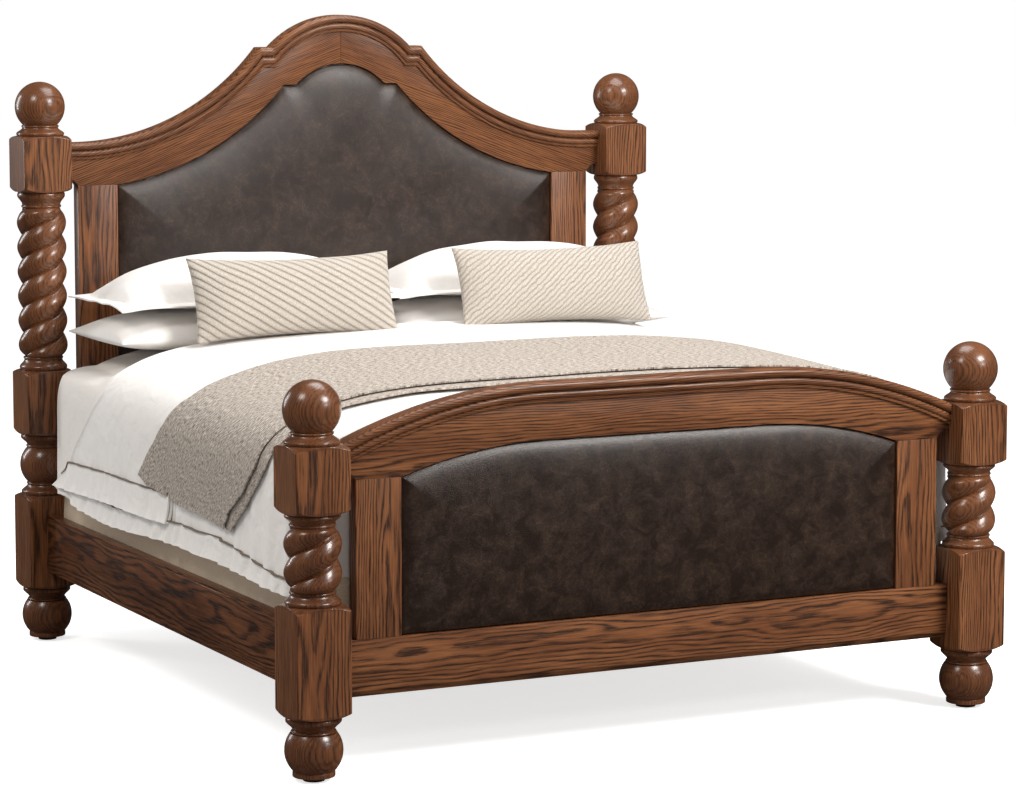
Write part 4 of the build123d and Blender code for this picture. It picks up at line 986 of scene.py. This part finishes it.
# Pillows: two stacks of two. The lower ones are plain with a seam all round, the upper ones are shams
# with a flat flange, and the upper ones slump a little at their front edge under their own weight.
pillow_cotton = cloth("pillow_percale", COTTON_DARK, COTTON_LIGHT, thread=0.0011, melange=0.2, depth=0.0002, crumple=0.005)


def pillow(name, long, deep, crowns, flange, seed, droop, material, pull=(0.03, 0.045), count=(110, 64)):
    """Stuffed bag with pulled-in sides, pointed corners and creases that fan out of them."""
    rng = np.random.default_rng(seed)
    ticks = [np.sin(np.linspace(-np.pi / 2, np.pi / 2, n)) * 0.35 + np.linspace(-1, 1, n) * 0.65 for n in count]
    u, v = np.meshgrid(ticks[0], ticks[1], indexing="ij")
    pull_x = pull[0] * (1 - v ** 2) * np.abs(u) ** 3
    pull_y = pull[1] * (1 - u ** 2) * np.abs(v) ** 3
    x = long / 2 * u * (1 - pull_x)
    y = deep / 2 * v * (1 - pull_y)
    fx, fy = 1 - flange / (long / 2), 1 - flange / (deep / 2)
    cu, cv = np.clip(np.abs(u) / fx, 0, 1), np.clip(np.abs(v) / fy, 0, 1)
    crown = (1 - cu ** 2.4) ** 0.55 * (1 - cv ** 2.2) ** 0.52
    wrinkle = np.zeros_like(x)
    for _ in range(14):
        a, b, c = rng.uniform(9, 42), rng.uniform(-26, 26), rng.uniform(0, 6.28)
        wrinkle += rng.uniform(0.2, 1.0) * np.sin(a * x + b * y + c + 1.5 * np.sin(5 * y + c))
    edge = np.clip(1 - crown, 0, 1) * np.clip(crown * 5, 0, 1)
    wrinkle *= 0.0011 * (0.35 + 1.3 * edge)
    ripple = 0.0014 * np.sin(38 * x + 3 * np.sin(11 * x)) * np.clip((np.abs(v) - fy + 0.04) / 0.08, 0, 1)
    ripple = ripple + 0.0014 * np.sin(35 * y + 2 * np.sin(13 * y)) * np.clip((np.abs(u) - fx + 0.03) / 0.06, 0, 1)
    cloth_half = 0.0022
    top = crowns[0] * crown + cloth_half + wrinkle + (ripple if flange else 0 * x)
    low = -crowns[1] * crown - cloth_half + wrinkle * 0.4 + (ripple if flange else 0 * x)
    sag = -droop * np.clip((-v - 0.35) / 0.65, 0, 1) ** 2 - droop * 0.5 * np.clip((np.abs(u) - 0.7) / 0.3, 0, 1) ** 2
    outer = np.stack([x, y, top + sag], -1)
    inner = np.stack([x, y, low + sag], -1)
    return thick_sheet(name, outer, inner, material)


def placed(piece, centre, lean=0.0, turn=0.0):
    matrix = Matrix.Translation(centre) @ Matrix.Rotation(turn, 4, "Z") @ Matrix.Rotation(lean, 4, "X")
    piece.data.transform(matrix)
    return piece


for side_name, side in (("left", -1), ("right", 1)):
    for stack, flange, crowns, seam_z, droop in (
        ("lower", 0.0, (0.088, 0.050), 0.966, 0.0), ("upper", 0.045, (0.126, 0.034), 1.076, 0.010),
    ):
        node = f"pillow_{stack}_{side_name}"
        seed = 7 + 2 * (side > 0) + (flange > 0)
        bag = pillow(f"{node}_case", 0.935, 0.425, crowns, flange, seed, droop, pillow_cotton)
        placed(bag, (side * 0.470, 0.768, seam_z), turn=-side * math.radians(2.5))
        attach(bag, f"{stack}_pillow_{side_name}")
        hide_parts(node)

# Lumbar cushions: two stuffed covers leaning on the pillows. The left one is sewn in slanting cords, the
# right one in a finer broken twill, both in a heathered beige.
def quilted(name, pitch, slant, depth, broken):
    made = cloth(name, (0.22, 0.17, 0.125), (0.66, 0.60, 0.53), thread=0.0040, melange=0.5, depth=0.0010, rough=0.95, sheen=0.25, lay="cloth_map")
    tree = made.node_tree
    shader = tree.nodes["Principled BSDF"]
    map_place = add(tree, "ShaderNodeUVMap", uv_map="cloth_map")
    turned = add(tree, "ShaderNodeMapping", {"Vector": map_place.outputs[0], "Rotation": (0, 0, slant)})
    if broken:
        wobble = add(tree, "ShaderNodeTexNoise", {"Vector": turned.outputs[0], "Scale": 60.0, "Detail": 1.0})
        turned = add(tree, "ShaderNodeVectorMath", {0: turned.outputs[0], 1: stretched(tree, wobble.outputs["Color"], (0.010, 0.010, 0))}, operation="ADD")
    cord = add(tree, "ShaderNodeTexWave", {"Vector": turned.outputs[0], "Scale": 0.314 / pitch, "Distortion": 0.3, "Detail": 1.0}, bands_direction="Y")
    # The valleys between the cords are painted darker brown: painted shade in the recesses.
    valley_shade_mask = ramp(tree, cord.outputs["Fac"], (0.0, 1.0), (0.28, 0.18), (0.6, 0.0))
    base = shader.inputs["Base Color"].links[0].from_socket
    shade = add(tree, "ShaderNodeMath", {0: valley_shade_mask, 1: 0.42 if not broken else 0.34}, operation="MULTIPLY")
    tree.links.new(mixed(tree, shade.outputs[0], base, (0.16, 0.125, 0.095)), shader.inputs["Base Color"])
    under_bump = shader.inputs["Normal"].links[0].from_socket
    curve = ramp(tree, cord.outputs["Fac"], (0.0, 0.0), (0.3, 0.75), (1.0, 1.0))
    bump = add(tree, "ShaderNodeBump", {"Height": curve, "Distance": depth, "Strength": 1.0, "Normal": under_bump})
    tree.links.new(bump.outputs[0], shader.inputs["Normal"])
    return made


for side_name, middle_x, turn, cover in (
    ("left", -0.404, 0.0, quilted("corded_cushion_cloth", 0.022, math.radians(58), 0.0045, False)),
    ("right", 0.470, 0.0, quilted("twill_cushion_cloth", 0.014, math.radians(-52), 0.0028, True)),
):
    node = f"lumbar_cushion_{side_name}"
    bag = pillow(f"{node}_cover", 0.655, 0.262, (0.066, 0.060), 0.0, 31 + (turn > 0), 0.0, cover, (0.035, 0.14), (120, 70))
    placed(bag, (middle_x, 0.474, 1.090), lean=math.radians(70), turn=turn)
    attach(bag, f"cushion_{side_name}")
    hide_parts(node)
